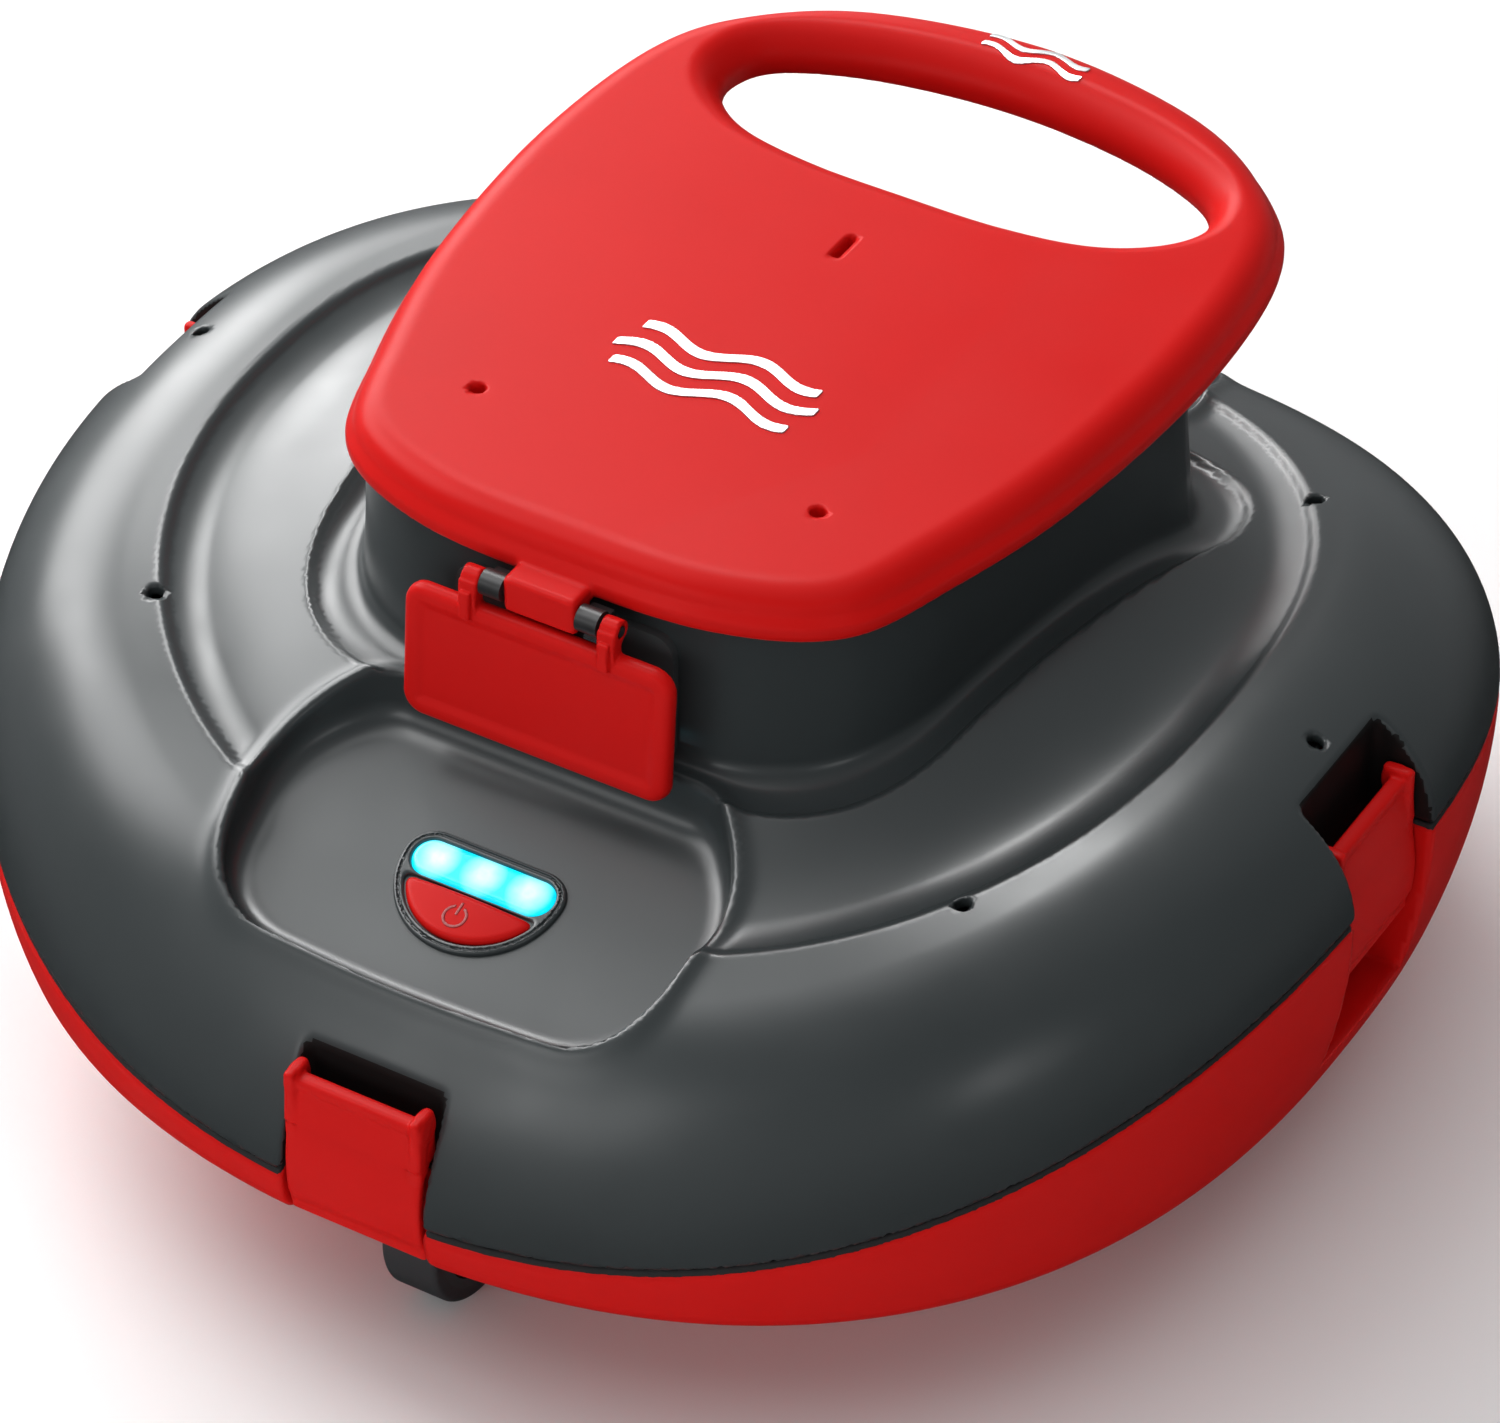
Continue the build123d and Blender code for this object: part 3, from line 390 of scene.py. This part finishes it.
for side in ("front", "rear", "left", "right"):
    paint(inner_grey, f"wheel_{side}")
    paint(tyre_rubber, f"tyre_{side}")
for side in ("front", "rear"):
    paint(black, f"flap_clips_{side}", f"flap_pin_{side}", f"propeller_{side}", f"inlet_valve_{side}")
    paint(steel, f"prop_shaft_{side}")
    paint(motor_steel, f"motor_{side}")
    paint(rubber, f"shaft_seal_{side}")
    paint(inner_grey, f"jet_duct_{side}")
paint(steel, "latch_pins", "wheel_axles", "handle_screws", "box_screws")
paint(rubber, "box_gasket", "charge_cap")
paint(black, "filter_tray", "battery_cradle", "power_switch", "charge_socket")
paint(net_mesh, "filter_mesh")
paint(inner_grey, "motor_box", "box_lid", "panel_pod")
paint(cell_wrap, "battery_cells")
paint(board_green, "main_board", "panel_board")

# ---------------------------------------------------------------- body shape, in mm
HALF_X, HALF_Y, CORNER = 186.6, 183.7, 2.3   # superellipse of the body seen from above
WALL = 3.0
SPLIT_TOP, SPLIT_DROP = 111.7, 50.6          # parting line at the sides, and its fall to front and back
CROWN = 147.5
RIM = 43.5                                   # underside of the tub
RIDGE = 0.757                                # outer ridge of the dome, as a share of the body
NECK_TOP = 183.4
PLATE_TOP = 198.4
# each latch: its side, its quarter turns from the front, and how far it sits above the front one
LATCH_SIDES = (("front", 0, 0.0), ("right", 1, 35.0), ("rear", 2, 0.0), ("left", 3, 35.0))
OPEN_BELOW = -50.0                           # low end of a slot that runs out through the bottom
SLOT_HALF, SLOT_BACK = 20.3, -169.0          # half width and back wall of a latch slot
FLOOR_Y, FLOOR_Z, FLOOR_SLOPE = -126.0, 115.4, 0.325   # a point on the front scoop's floor, and its slope
JET_Z, JET_BORE, COLLAR = 157.0, 17.0, 18.5  # jet outlet: height, radius of its bore, mean radius of its collar
DRAIN_PLACES, DRAIN_RADIUS = ((162.7, 0.0), (115.9, 89.4)), 2.1   # one quarter's drain holes
SHELL_EDGE, TUB_EDGE = 0.3, 1.25             # shell's edge over the parting line, tub's edge under it
RIDGE_REACH = 190.0                          # mm that a share of 1 stands for over the ridges


def share_of_body(x, y):
    """0 in the middle, 1 at the side wall."""
    return ((np.abs(x) / HALF_X) ** CORNER + (np.abs(y) / HALF_Y) ** CORNER) ** (1 / CORNER)


def inward(x, y):
    """Distance inside the side wall, mm."""
    share = np.maximum(share_of_body(x, y), 1e-6)
    return np.hypot(x, y) * (1 / share - 1)


def split_height(y):
    """Height of the parting line."""
    return SPLIT_TOP - SPLIT_DROP * (y / HALF_Y) ** 2


def quarter(x, y, turns):
    """Coordinates as the front latch sees them from another side."""
    for _ in range(turns):
        x, y = y, -x
    return x, y


def neck_plan(x, y):
    """Distance outside the neck's outline just under the handle plate."""
    half = 82.0 + 0.146 * (np.clip(y, -84, 62) + 36)
    side = np.abs(x) - half
    return both(both(side, -y - 81.0, 44), y - 85.0, 34)


def scoop_plan(x, y, z):
    """Distance outside one scoop's opening, for the front scoop."""
    back = y + 84.0 + (181.0 - z) * 0.08
    corner = (np.abs(x) + y + 41.0) * 0.707
    side = (np.abs(x) - 66.5 - 0.13 * (y + 103)) * 0.99
    front = -y - 157.0 + 0.0009 * x * x
    return both(both(back, corner, 5), both(side, front, 20), 14)


def scoop_space(x, y, z):
    """The front scoop's open space over its sloping floor."""
    floor = FLOOR_Z + (y - FLOOR_Y) * FLOOR_SLOPE
    return both(scoop_plan(x, y, z), (floor - z) * 0.95, 6)


def latch_space(x, y, z, low):
    """Slot that a latch sits in, for the front latch."""
    return both(both(np.abs(x) - SLOT_HALF, y - SLOT_BACK, 3), low - z, 1)


def dome_top(x, y):
    """Height of the dome over its ridges, as a change from the smooth crown."""
    inside_ridge = (RIDGE - share_of_body(x, y)) * RIDGE_REACH
    outer = -4.0 * fall_off(inside_ridge, 14.0) + 9.0 * step_up(inside_ridge - 12.0, 42.0)
    return outer - 4.5 * fall_off(11.0 - neck_plan(x, y), 9.0)


def shell_form(x, y, z):
    """Solid shape of the upper shell, before it is hollowed."""
    low = split_height(y)
    crown = CROWN - 0.00105 * y**2 - 7e-13 * np.clip(y, -190, 190) ** 6
    depth = np.clip(inward(x, y), -10, 200)
    shoulder = 42.0 - 10.0 * (y / HALF_Y) ** 2
    across = np.maximum(shoulder - depth, 0.0) / shoulder
    rim_bead = 1.9 * np.exp(-(scoop_plan(x, -np.abs(y), z) / 3.2) ** 2)
    rise = np.maximum(crown - low, 20)
    up = (z - low - dome_top(x, y) * step_up(depth - 20, 20) - rim_bead) / rise
    dome = (np.sqrt(across**2 + np.maximum(up, 0) ** 2) - 1) * np.minimum(shoulder, rise)
    flare = 1.5 * (np.clip(NECK_TOP - z, 0, 60) / 38.0) ** 1.8
    neck = both(neck_plan(x, y) + 2.5 - flare, z - NECK_TOP, 1.0)
    form = either(dome, neck, 4.0)
    form = cut(form, scoop_space(x, y, z), 2.8)
    form = cut(form, scoop_space(x, -y, z), 2.8)
    for _, turns, _ in LATCH_SIDES:
        form = cut(form, latch_space(*quarter(x, y, turns), z, OPEN_BELOW), 1.5)
    return form


def hollow_shell(x, y, z):
    """The upper shell with its wall, drain holes and jet outlets."""
    form = shell_form(x, y, z)
    wall = WALL * (1 + 1.3 * (y / HALF_Y) ** 2)   # the field is steeper towards the front and back
    shell = both(form, -(form + wall), 0.3)
    shell = both(shell, (split_height(y) + SHELL_EDGE - z) * 0.9, 1.8)
    along = np.abs(y)
    collar = both(np.abs(rod(x, z - JET_Z, COLLAR)) - 1.6, both(along - 92.0, 79.0 - along))
    collar = both(collar, form)
    shell = either(shell, collar, 1.0)
    shell = cut(shell, both(rod(x, z - JET_Z, JET_BORE), 70.0 - along), 1.2)
    for hole_x, hole_y in DRAIN_PLACES:
        hole = both(rod(np.abs(x) - hole_x, along - hole_y, DRAIN_RADIUS), 100.0 - z)
        shell = cut(shell, hole, 0.9)
    return shell


def foam_block(x, y, z):
    """Foam float under the side of the dome."""
    return both(block(np.abs(x), y, z, (124, 0, 131), (52, 112, 40), 6), shell_form(x, y, z) + WALL + 2, 2)


def rounded_rectangle(x, y, half_x, half_y, corner):
    """Distance outside a rectangle with round corners."""
    u, v = np.abs(x) - half_x + corner, np.abs(y) - half_y + corner
    return np.hypot(np.maximum(u, 0), np.maximum(v, 0)) + np.minimum(np.maximum(u, v), 0) - corner


WHEEL_PLACES = ((0, -137), (0, 137), (-125, 0), (125, 0))
WHEEL_Z, WHEEL_ROOM, WHEEL_ROOM_HALF = 23.5, 27.0, 8.6   # wheel axis, and the pocket's radius and half width
CHEEK_RADIUS, AXLE_BORE = 8.0, 2.5           # radii of the wheel cheeks and of the holes for the axle
LATCH_FOOT = 47.1                            # low edge of the front latch
SIDE_LATCH_LOW = 62.1                        # floor of the side latches' slots in the tub


def tub_solid(x, y, z):
    """Solid shape of the tub: a pan whose wall curves in below the parting line, over a tapered well."""
    top = split_height(y)
    height = top - RIM
    down = np.clip((top - z) / height, 0, 1.3)
    side = 13.0 * height / 68.0 * down**2 - inward(x, y)
    pan = both(side, RIM - z, 10)
    well_half = 98.0 - 0.14 * (46.5 - z)
    well = both(rounded_rectangle(x, y, well_half, well_half, 48.0), 11.0 - z, 5)
    form = either(pan, both(well, z - 60.0), 8)
    for wheel_x, wheel_y in WHEEL_PLACES:
        pocket = both(rod(y - wheel_y, z - WHEEL_Z, WHEEL_ROOM), np.abs(x - wheel_x) - WHEEL_ROOM_HALF, 2)
        form = cut(form, pocket, 1.2)
    for _, turns, rise in LATCH_SIDES:
        low = SIDE_LATCH_LOW if rise else OPEN_BELOW
        form = cut(form, latch_space(*quarter(x, y, turns), z, low), 1.2)
    return form


def hollow_tub(x, y, z):
    """The tub with its wall, wheel cheeks, mouths and valve bosses."""
    form = tub_solid(x, y, z)
    tub = both(form, -(form + WALL), 0.3)
    tub = both(tub, (z - split_height(y) + TUB_EDGE) * 0.9, 1.6)
    for wheel_x, wheel_y in WHEEL_PLACES:
        beside = np.abs(np.abs(x - wheel_x) - 10.1) - 1.5
        strut = both(np.abs(y - wheel_y) - CHEEK_RADIUS, WHEEL_Z - z)
        cheek = either(rod(y - wheel_y, z - WHEEL_Z, CHEEK_RADIUS), strut)
        cheek = both(both(cheek, z - 45.0), beside, 0.5)
        tub = either(tub, cheek, 0.6)
        tub = cut(tub, both(rod(y - wheel_y, z - WHEEL_Z, AXLE_BORE), np.abs(x - wheel_x) - 12.0))
    mouth = block(x, np.abs(y), z, (0, 38.0, 12.5), (110, 18, 12), 1)
    boss = block(np.abs(x), np.abs(y), z, (61.5, 52.0, 17.0), (5, 7, 6), 0.5)
    return either(cut(tub, mouth, 0.8), boss, 0.4)


def seal_ring(x, y, z):
    """Rubber ring on the tub's edge."""
    form = tub_solid(x, y, z)
    ring = both(form + 0.6, -(form + 2.4), 0.3)
    top = split_height(y)
    return both(ring, np.abs(z - top + 1.6) - 1.4, 0.6)


LATCH_HALF, KINK_Z = 19.4, 78.3              # half width, and the height of the bend in the finger plate
LATCH_PIN_Y, LATCH_PIN_Z, LATCH_PIN_BORE = -176.0, 52.1, 1.55   # front latch's pin, and its hole's radius


def latch_plate(x, y, z):
    """The front latch: tilted finger plate over a kink, and a lower part that curves with the body."""
    above = np.maximum(z - KINK_Z, 0)
    below = np.maximum(KINK_Z - z, 0)
    belly = 1.0 - 2.0 * np.sin(np.clip(below / 31.0, 0, 1) * np.pi)
    face = -181.5 + above * 0.2 + np.where(z < KINK_Z, belly, 0)
    face = face + 2.5 * step_up(below - 22.0, 9.0)
    wide = np.abs(x) - LATCH_HALF
    tall = both(LATCH_FOOT - z, z - 91.5)
    plate = both(both(np.abs(y - face - 1.5) - 1.5, wide, 1.2), tall, 1.2)
    flange = block(np.abs(x), y, z, (17.9, -177.0, 84.0), (3.0, 8.0, 19.0), 1.2)
    flange = both(flange, (y + 179.0) * 0.6 - (z - 76.0) * 0.8)
    lip = block(x, y, z, (0, -177.7, 90.0), (2 * LATCH_HALF, 4.0, 2.6), 1)
    web = block(x, y, z, (0, -178.0, LATCH_PIN_Z), (2 * LATCH_HALF, 5.0, 6.4), 1)
    barrel = both(rod(y - LATCH_PIN_Y, z - LATCH_PIN_Z, 3.2), wide, 0.8)
    form = either(either(plate, flange, 1.0), either(lip, either(web, barrel, 1), 1), 1.0)
    nub = both(rod(y + 176.5, z - 89.5, 3.4), np.abs(np.abs(x) - 17.9) - 1.5, 0.8)
    form = either(form, nub, 1.0)
    return cut(form, rod(y - LATCH_PIN_Y, z - LATCH_PIN_Z, LATCH_PIN_BORE))


PLATE_EDGE = ((0, -84), (41, -81.5), (71, -67), (84, -36), (94, 5), (98.5, 60), (93.5, 108), (78, 134),
              (48, 153), (0, 161))
SLOT_EDGE = ((0, 86), (27, 86.6), (50, 91), (65, 101), (69.5, 113), (62, 125.5), (36, 135.5), (0, 139.5))


def both_sides(points):
    """Half an outline followed by its mirror image."""
    return [*points, *((-x, y) for x, y in reversed(points[1:-1]))]


plate_edge = loop_distance(both_sides(PLATE_EDGE))
slot_edge = loop_distance(both_sides(SLOT_EDGE))


def plate_height(x, y):
    """The handle plate's top, slightly crowned."""
    return PLATE_TOP - 1.4 * ((x / 95.0) ** 2 + ((y - 38.0) / 120.0) ** 2)


def handle_form(x, y, z):
    """Handle plate with a soft shoulder, a flared hand slot, screw holes and the apron over the flap."""
    edge = plate_edge(x, y)
    top = plate_height(x, y)
    lip = edge + 1.6 * step_up(z - 187.5, 4.0)
    form = both(both(lip, z - top, 9.0), NECK_TOP + 0.2 - z, 3.0)
    flare = 8.0 * np.clip((z - 187.0) / 11.0, 0, 1.2) ** 2
    form = cut(form, slot_edge(x, y) - flare, 2.5)
    form = cut(form, both(rod(np.abs(x) - 48.3, y + 42.2, 2.0), 193.0 - z), 0.8)
    form = cut(form, block(x, y, z, (0, 52, 199), (2.4, 10, 12), 1.0), 0.8)
    return either(form, block(x, y, z, (0, -88.0, 182.6), (20.4, 8.0, 10.2), 1.5), 1.5)


PIN_Y, FLAP_LEAN = 89.5, math.radians(6.0)   # the flap pins' distance from the middle, and the flaps' lean


def flap_form(x, y, z):
    """Jet flap with a soft raised border; y and z are from its pin, as the front flap hangs."""
    out = -math.cos(FLAP_LEAN) * y + math.sin(FLAP_LEAN) * z
    rise = math.sin(FLAP_LEAN) * y + math.cos(FLAP_LEAN) * z
    outline = rounded_rectangle(x, rise + 25.0, 38.0, 19.0, 6.0)
    face = 3.4 - 0.8 * step_up(-outline - 3.6, 3.0)
    form = both(both(outline, out - face, 3.0), -0.5 - out, 0.8)
    tooth = np.abs(np.abs(x) - 19.6)
    lug = both(both(tooth - 2.5, np.abs(rise + 3.6) - 4.2, 0.5), np.abs(out - 1.6) - 2.1, 0.6)
    cap = both(both(tooth - 1.6, np.abs(rise + 6.0) - 4.0, 0.5), np.abs(out - 2.6) - 2.4, 0.6)
    barrel = both(rod(y, z, 3.0), tooth - 2.5, 0.5)
    form = either(form, either(either(lug, cap, 0.4), barrel, 0.6), 0.6)
    return cut(form, both(rod(y, z, 1.45), np.abs(x) - 25.0))


SCOOP_LEAN = math.radians(18.0)


def on_floor(x, y, z):
    """Coordinates on the front scoop's floor: across, up the slope and off it."""
    y, z = y - FLOOR_Y, z - FLOOR_Z
    cosine, sine = math.cos(SCOOP_LEAN), math.sin(SCOOP_LEAN)
    return x, cosine * y + sine * z, cosine * z - sine * y


def stadium(u, v, half_length, half_width):
    """Distance outside a slot-shaped outline."""
    return np.hypot(np.maximum(np.abs(u) - half_length + half_width, 0), v) - half_width


WINDOW_V, WINDOW_HALF_U, WINDOW_HALF_V = 6.5, 20.0, 5.25   # the lamp window's middle and half sizes


def oval(u, v, grow):
    """The lower half of the panel: an ellipse about the window's middle."""
    reach_u, reach_v = 22.6 + grow, 22.0 + grow
    return (np.hypot(u / reach_u, (v - WINDOW_V) / reach_v) - 1) * reach_v


def moon(u, v, grow):
    """The power button's outline."""
    return both(oval(u, v, grow - 3.0), v - 0.25 - grow, 2.6)


def bezel_form(x, y, z):
    """Frame of the control panel, with a fine groove round its edge."""
    u, v, h = on_floor(x, y, z)
    outline = either(both(oval(u, v, 0), v - WINDOW_V), stadium(u, v - WINDOW_V, 22.6, 7.85))
    form = both(both(outline, h - 1.3, 1.2), -2.0 - h)
    form = cut(form, both(np.abs(outline + 1.3) - 0.28, 0.8 - h))
    form = cut(form, stadium(u, v - WINDOW_V, WINDOW_HALF_U, WINDOW_HALF_V), 0.8)
    return cut(form, moon(u, v, 0.35), 0.8)


def window_form(x, y, z):
    """Slot-shaped lens over the lamps."""
    u, v, h = on_floor(x, y, z)
    outline = stadium(u, v - WINDOW_V, WINDOW_HALF_U, WINDOW_HALF_V)
    return both(both(outline, h - 1.7, 2.0), -1.5 - h)


def button_form(x, y, z):
    """The crowned power button."""
    u, v, h = on_floor(x, y, z)
    return both(both(moon(u, v, 0), h - 2.4 + 0.004 * (u * u + (v + 6) ** 2), 1.8), -2.3 - h)


def power_mark(x, y, z):
    """The usual power symbol, a broken ring and a bar, standing just off the button."""
    u, v, h = on_floor(x, y, z)
    v = v + 6.6
    ring = both(np.abs(np.hypot(u, v) - 2.9) - 0.42, np.where(v > 0, 1.1 - np.abs(u), -1.0))
    bar = both(np.abs(u) - 0.42, np.abs(v - 2.3) - 1.9, 0.3)
    return both(both(either(ring, bar), h - 2.52, 0.2), 1.6 - h)


def wave_mark(x, y, z):
    """Three printed wavy stripes on the handle plate, and two small ones on its rear rail."""
    swell = 2.3 * np.sin(x / 4.6)
    stripes = [both(np.abs(y + 10.0 - row * 8.0 - swell) - 1.7, np.abs(x) - 29.0 + 3.0 * abs(row), 0.8)
               for row in (-1, 0, 1)]
    ripple = 1.3 * np.sin(x / 2.6)
    small = [both(np.abs(y - 149.8 - row * 4.4 - ripple) - 1.0, np.abs(x) - 15.0, 0.5)
             for row in (-0.5, 0.5)]
    return both(np.minimum.reduce(stripes + small), np.abs(handle_form(x, y, z) - 0.1) - 0.3)


def painted_shade_pick(x, y, z):
    """Material index of the shell: 1 inside the latch slots, whose faces get the near-black painted shade."""
    slots = [latch_space(*quarter(x, y, turns), z, OPEN_BELOW) for _, turns, _ in LATCH_SIDES]
    return np.minimum.reduce(slots) < 0.35


# the shell's faces inside the latch slots take the second material, a near-black painted shade
moulded("shell_cover", hollow_shell, (-190, -188, 56), (190, 188, 186), 1.4, "shell",
        (charcoal, painted_slot_shade), cad=("upper_shell",), pick=painted_shade_pick)
moulded("base_tub", hollow_tub, (-190, -188, 8), (190, 188, 116), 1.6, "tub", (red,),
        cad=("tub_shell",))
moulded("edge_seal", seal_ring, (-188, -186, 57), (188, 186, 113), 1.0, "tub", (rubber,),
        cad=("rim_seal",))
for name, turns, rise in LATCH_SIDES:
    low, high = np.array((-21, -185, 45)), np.array((21, -171, 94))
    corners = [quarter(*p[:2], -turns % 4) for p in (low, high)]
    low = (min(c[0] for c in corners), min(c[1] for c in corners), low[2] + rise)
    high = (max(c[0] for c in corners), max(c[1] for c in corners), high[2] + rise)

    def latch_field(x, y, z, turns=turns, rise=rise):
        return latch_plate(*quarter(x, y, turns), z - rise)
    moulded(f"snap_{name}", latch_field, low, high, 0.7, f"latch_{name}_body", (red,),
            cad=(f"latch_{name}",))
for side, sign, pin_z in (("front", 1, 182.5), ("rear", -1, 178.1)):
    reach = sorted((sign * -100, sign * -84))

    def flap_field(x, y, z, sign=sign, pin_z=pin_z):
        return flap_form(x, sign * y + PIN_Y, z - pin_z)
    moulded(f"flap_cover_{side}", flap_field, (-40, reach[0], pin_z - 48), (40, reach[1], pin_z + 5), 0.8,
            f"flap_{side}", (red,), cad=(f"jet_flap_{side}",))
moulded("grip_plate", handle_form, (-102, -92, 174), (102, 165, 201), 1.3, "shell", (red,),
        cad=("handle_plate",))
moulded("wave_print", wave_mark, (-31, -24, 195), (31, 6, 200), 0.35, "shell", (silver,))
moulded("rail_print", wave_mark, (-18, 144, 194), (18, 156, 200), 0.3, "shell", (silver,))
for side, low in (("left", -152), ("right", 96)):
    moulded(f"foam_{side}", foam_block, (low, -60, 108), (low + 56, 60, 153), 2.5, "shell", (foam,),
            cad=(f"float_{side}",))
moulded("panel_frame", bezel_form, (-24, -144, 106), (24, -108, 124), 0.45, "shell", (charcoal,),
        cad=("panel_bezel",))
led_spots = [(step * 0.013, (FLOOR_Y + WINDOW_V * math.cos(SCOOP_LEAN)) * MM,
              (FLOOR_Z + WINDOW_V * math.sin(SCOOP_LEAN) + 1.2) * MM) for step in (-1, 0, 1)]
glow = lit("cyan_window", led_spots, 0.0062, (0.0, 0.72, 0.95), (0.75, 1.0, 1.0), 1.15)
moulded("lamp_window", window_form, (-22, -128, 112), (22, -112, 122), 0.5, "shell", (glow,),
        cad=("led_window",))
moulded("button_cap", button_form, (-22, -142, 106), (22, -122, 122), 0.45, "button", (red,),
        cad=("power_button",))
moulded("power_symbol", power_mark, (-5, -137, 109), (5, -125, 120), 0.22, "button", (deep_red,))
paint(glow, "leds")

# ---------------------------------------------------------------- stage, lights and camera
def aim(obj, target):
    """Turns a lamp towards a point."""
    obj.rotation_euler = (Vector(target) - obj.location).to_track_quat("-Z", "Y").to_euler()


AZIMUTH, ELEVATION, ROLL = math.radians(31.53), math.radians(39.86), math.radians(-0.72)
DISTANCE, LENS, TARGET_Z = 1.9125, 178.3, 0.06107   # m, mm and m
flat = math.cos(ELEVATION)
back = Vector((math.sin(AZIMUTH) * flat, -math.cos(AZIMUTH) * flat, math.sin(ELEVATION)))
right = Vector((math.cos(AZIMUTH), math.sin(AZIMUTH), 0))
up = back.cross(right)
right_r = right * math.cos(ROLL) + up * math.sin(ROLL)
up_r = up * math.cos(ROLL) - right * math.sin(ROLL)
target = (right_r * 2.0064 + up_r * 17.7056) * MM + Vector((0, 0, TARGET_Z))
camera_data = bpy.data.cameras.new("camera")
camera_data.sensor_width = 36.0
camera_data.lens = LENS
camera = bpy.data.objects.new("camera", camera_data)
bpy.context.scene.collection.objects.link(camera)
axes = Matrix((right_r, up_r, back)).transposed()
camera.matrix_world = Matrix.Translation(target + back * DISTANCE) @ axes.to_4x4()
bpy.context.scene.camera = camera


def softbox(name, place, target, width, height, watts, seen="both", colour=(1, 1, 1)):
    """Rectangular lamp that gives highlights, matt light or both."""
    light = bpy.data.lights.new(name, "AREA")
    light.shape = "RECTANGLE"
    light.size, light.size_y = width, height
    light.energy = watts
    light.color = colour
    obj = bpy.data.objects.new(name, light)
    bpy.context.scene.collection.objects.link(obj)
    obj.location = place
    obj.visible_camera = False
    obj.visible_glossy = seen != "matt"
    obj.visible_diffuse = seen != "highlight"
    aim(obj, target)


middle = (0, 0, 0.1)   # what the lamps point at
softbox("left_front", (-1.4, -0.5, 1.6), middle, 1.2, 1.2, 26, "highlight")
softbox("back_left", (-1.42, 0.56, 1.02), middle, 1.5, 0.9, 33)
softbox("low_back", (-1.19, 1.32, 0.78), middle, 0.9, 0.75, 8.5, "highlight")
softbox("crown", (-0.74, 0.80, 1.78), middle, 0.5, 0.4, 14, "highlight")
softbox("overhead", (-0.6, 0.0, 1.8), middle, 0.9, 0.9, 2.5)
softbox("front", (-0.51, -1.68, 0.8), middle, 0.6, 0.5, 3, "highlight")
softbox("front_right", (1.35, -1.05, 0.85), middle, 0.5, 0.4, 1.2, "highlight")
softbox("room", (0.1, -0.3, 2.2), middle, 2.5, 2.5, 22, "matt")
softbox("front_fill", (0.1, -1.8, 0.6), middle, 1.8, 0.8, 10, "matt")

# the light that the lamp window sheds around itself
softbox("lamp_spill", (0, -0.1235, 0.1290), (0, -0.1198, 0.1174), 0.036, 0.010, 0.0008, "matt",
        (0.0, 0.8, 1.0))

mesh = bpy.data.meshes.new("floor")
mesh.from_pydata([(-6, -6, 0), (6, -6, 0), (6, 6, 0), (-6, 6, 0)], [], [(0, 1, 2, 3)])
floor = bpy.data.objects.new("floor", mesh)
bpy.context.scene.collection.objects.link(floor)
floor.data.materials.append(plastic("pale_floor", (0.93, 0.93, 0.93), 0.9, shade=0.99, worn=1.0, gloss=0.1))
floor.visible_glossy = False

# surroundings: brightest towards the back left, faint below the horizon
world = bpy.data.worlds.new("studio")
bpy.context.scene.world = world
world.use_nodes = True
wn, wl = world.node_tree.nodes, world.node_tree.links
wc = wn.new("ShaderNodeTexCoord")
dot = wn.new("ShaderNodeVectorMath")
dot.operation = "DOT_PRODUCT"
dot.inputs[1].default_value = (-0.78, 0.55, 0.3)
wl.new(wc.outputs["Generated"], dot.inputs[0])
ramp = spread(wn, wl, dot.outputs["Value"], 0.14, 0.5, -0.2, 1.0)
height = wn.new("ShaderNodeSeparateXYZ")
wl.new(wc.outputs["Generated"], height.inputs[0])
above = wn.new("ShaderNodeMath")
above.operation = "MULTIPLY"
wl.new(ramp, above.inputs[0])
wl.new(spread(wn, wl, height.outputs["Z"], 0.08, 1.0, -0.45, 0.0), above.inputs[1])
wl.new(above.outputs[0], wn["Background"].inputs["Strength"])
wn["Background"].inputs["Color"].default_value = (0.97, 0.985, 1.0, 1)
bpy.context.scene.view_settings.view_transform = "Standard"
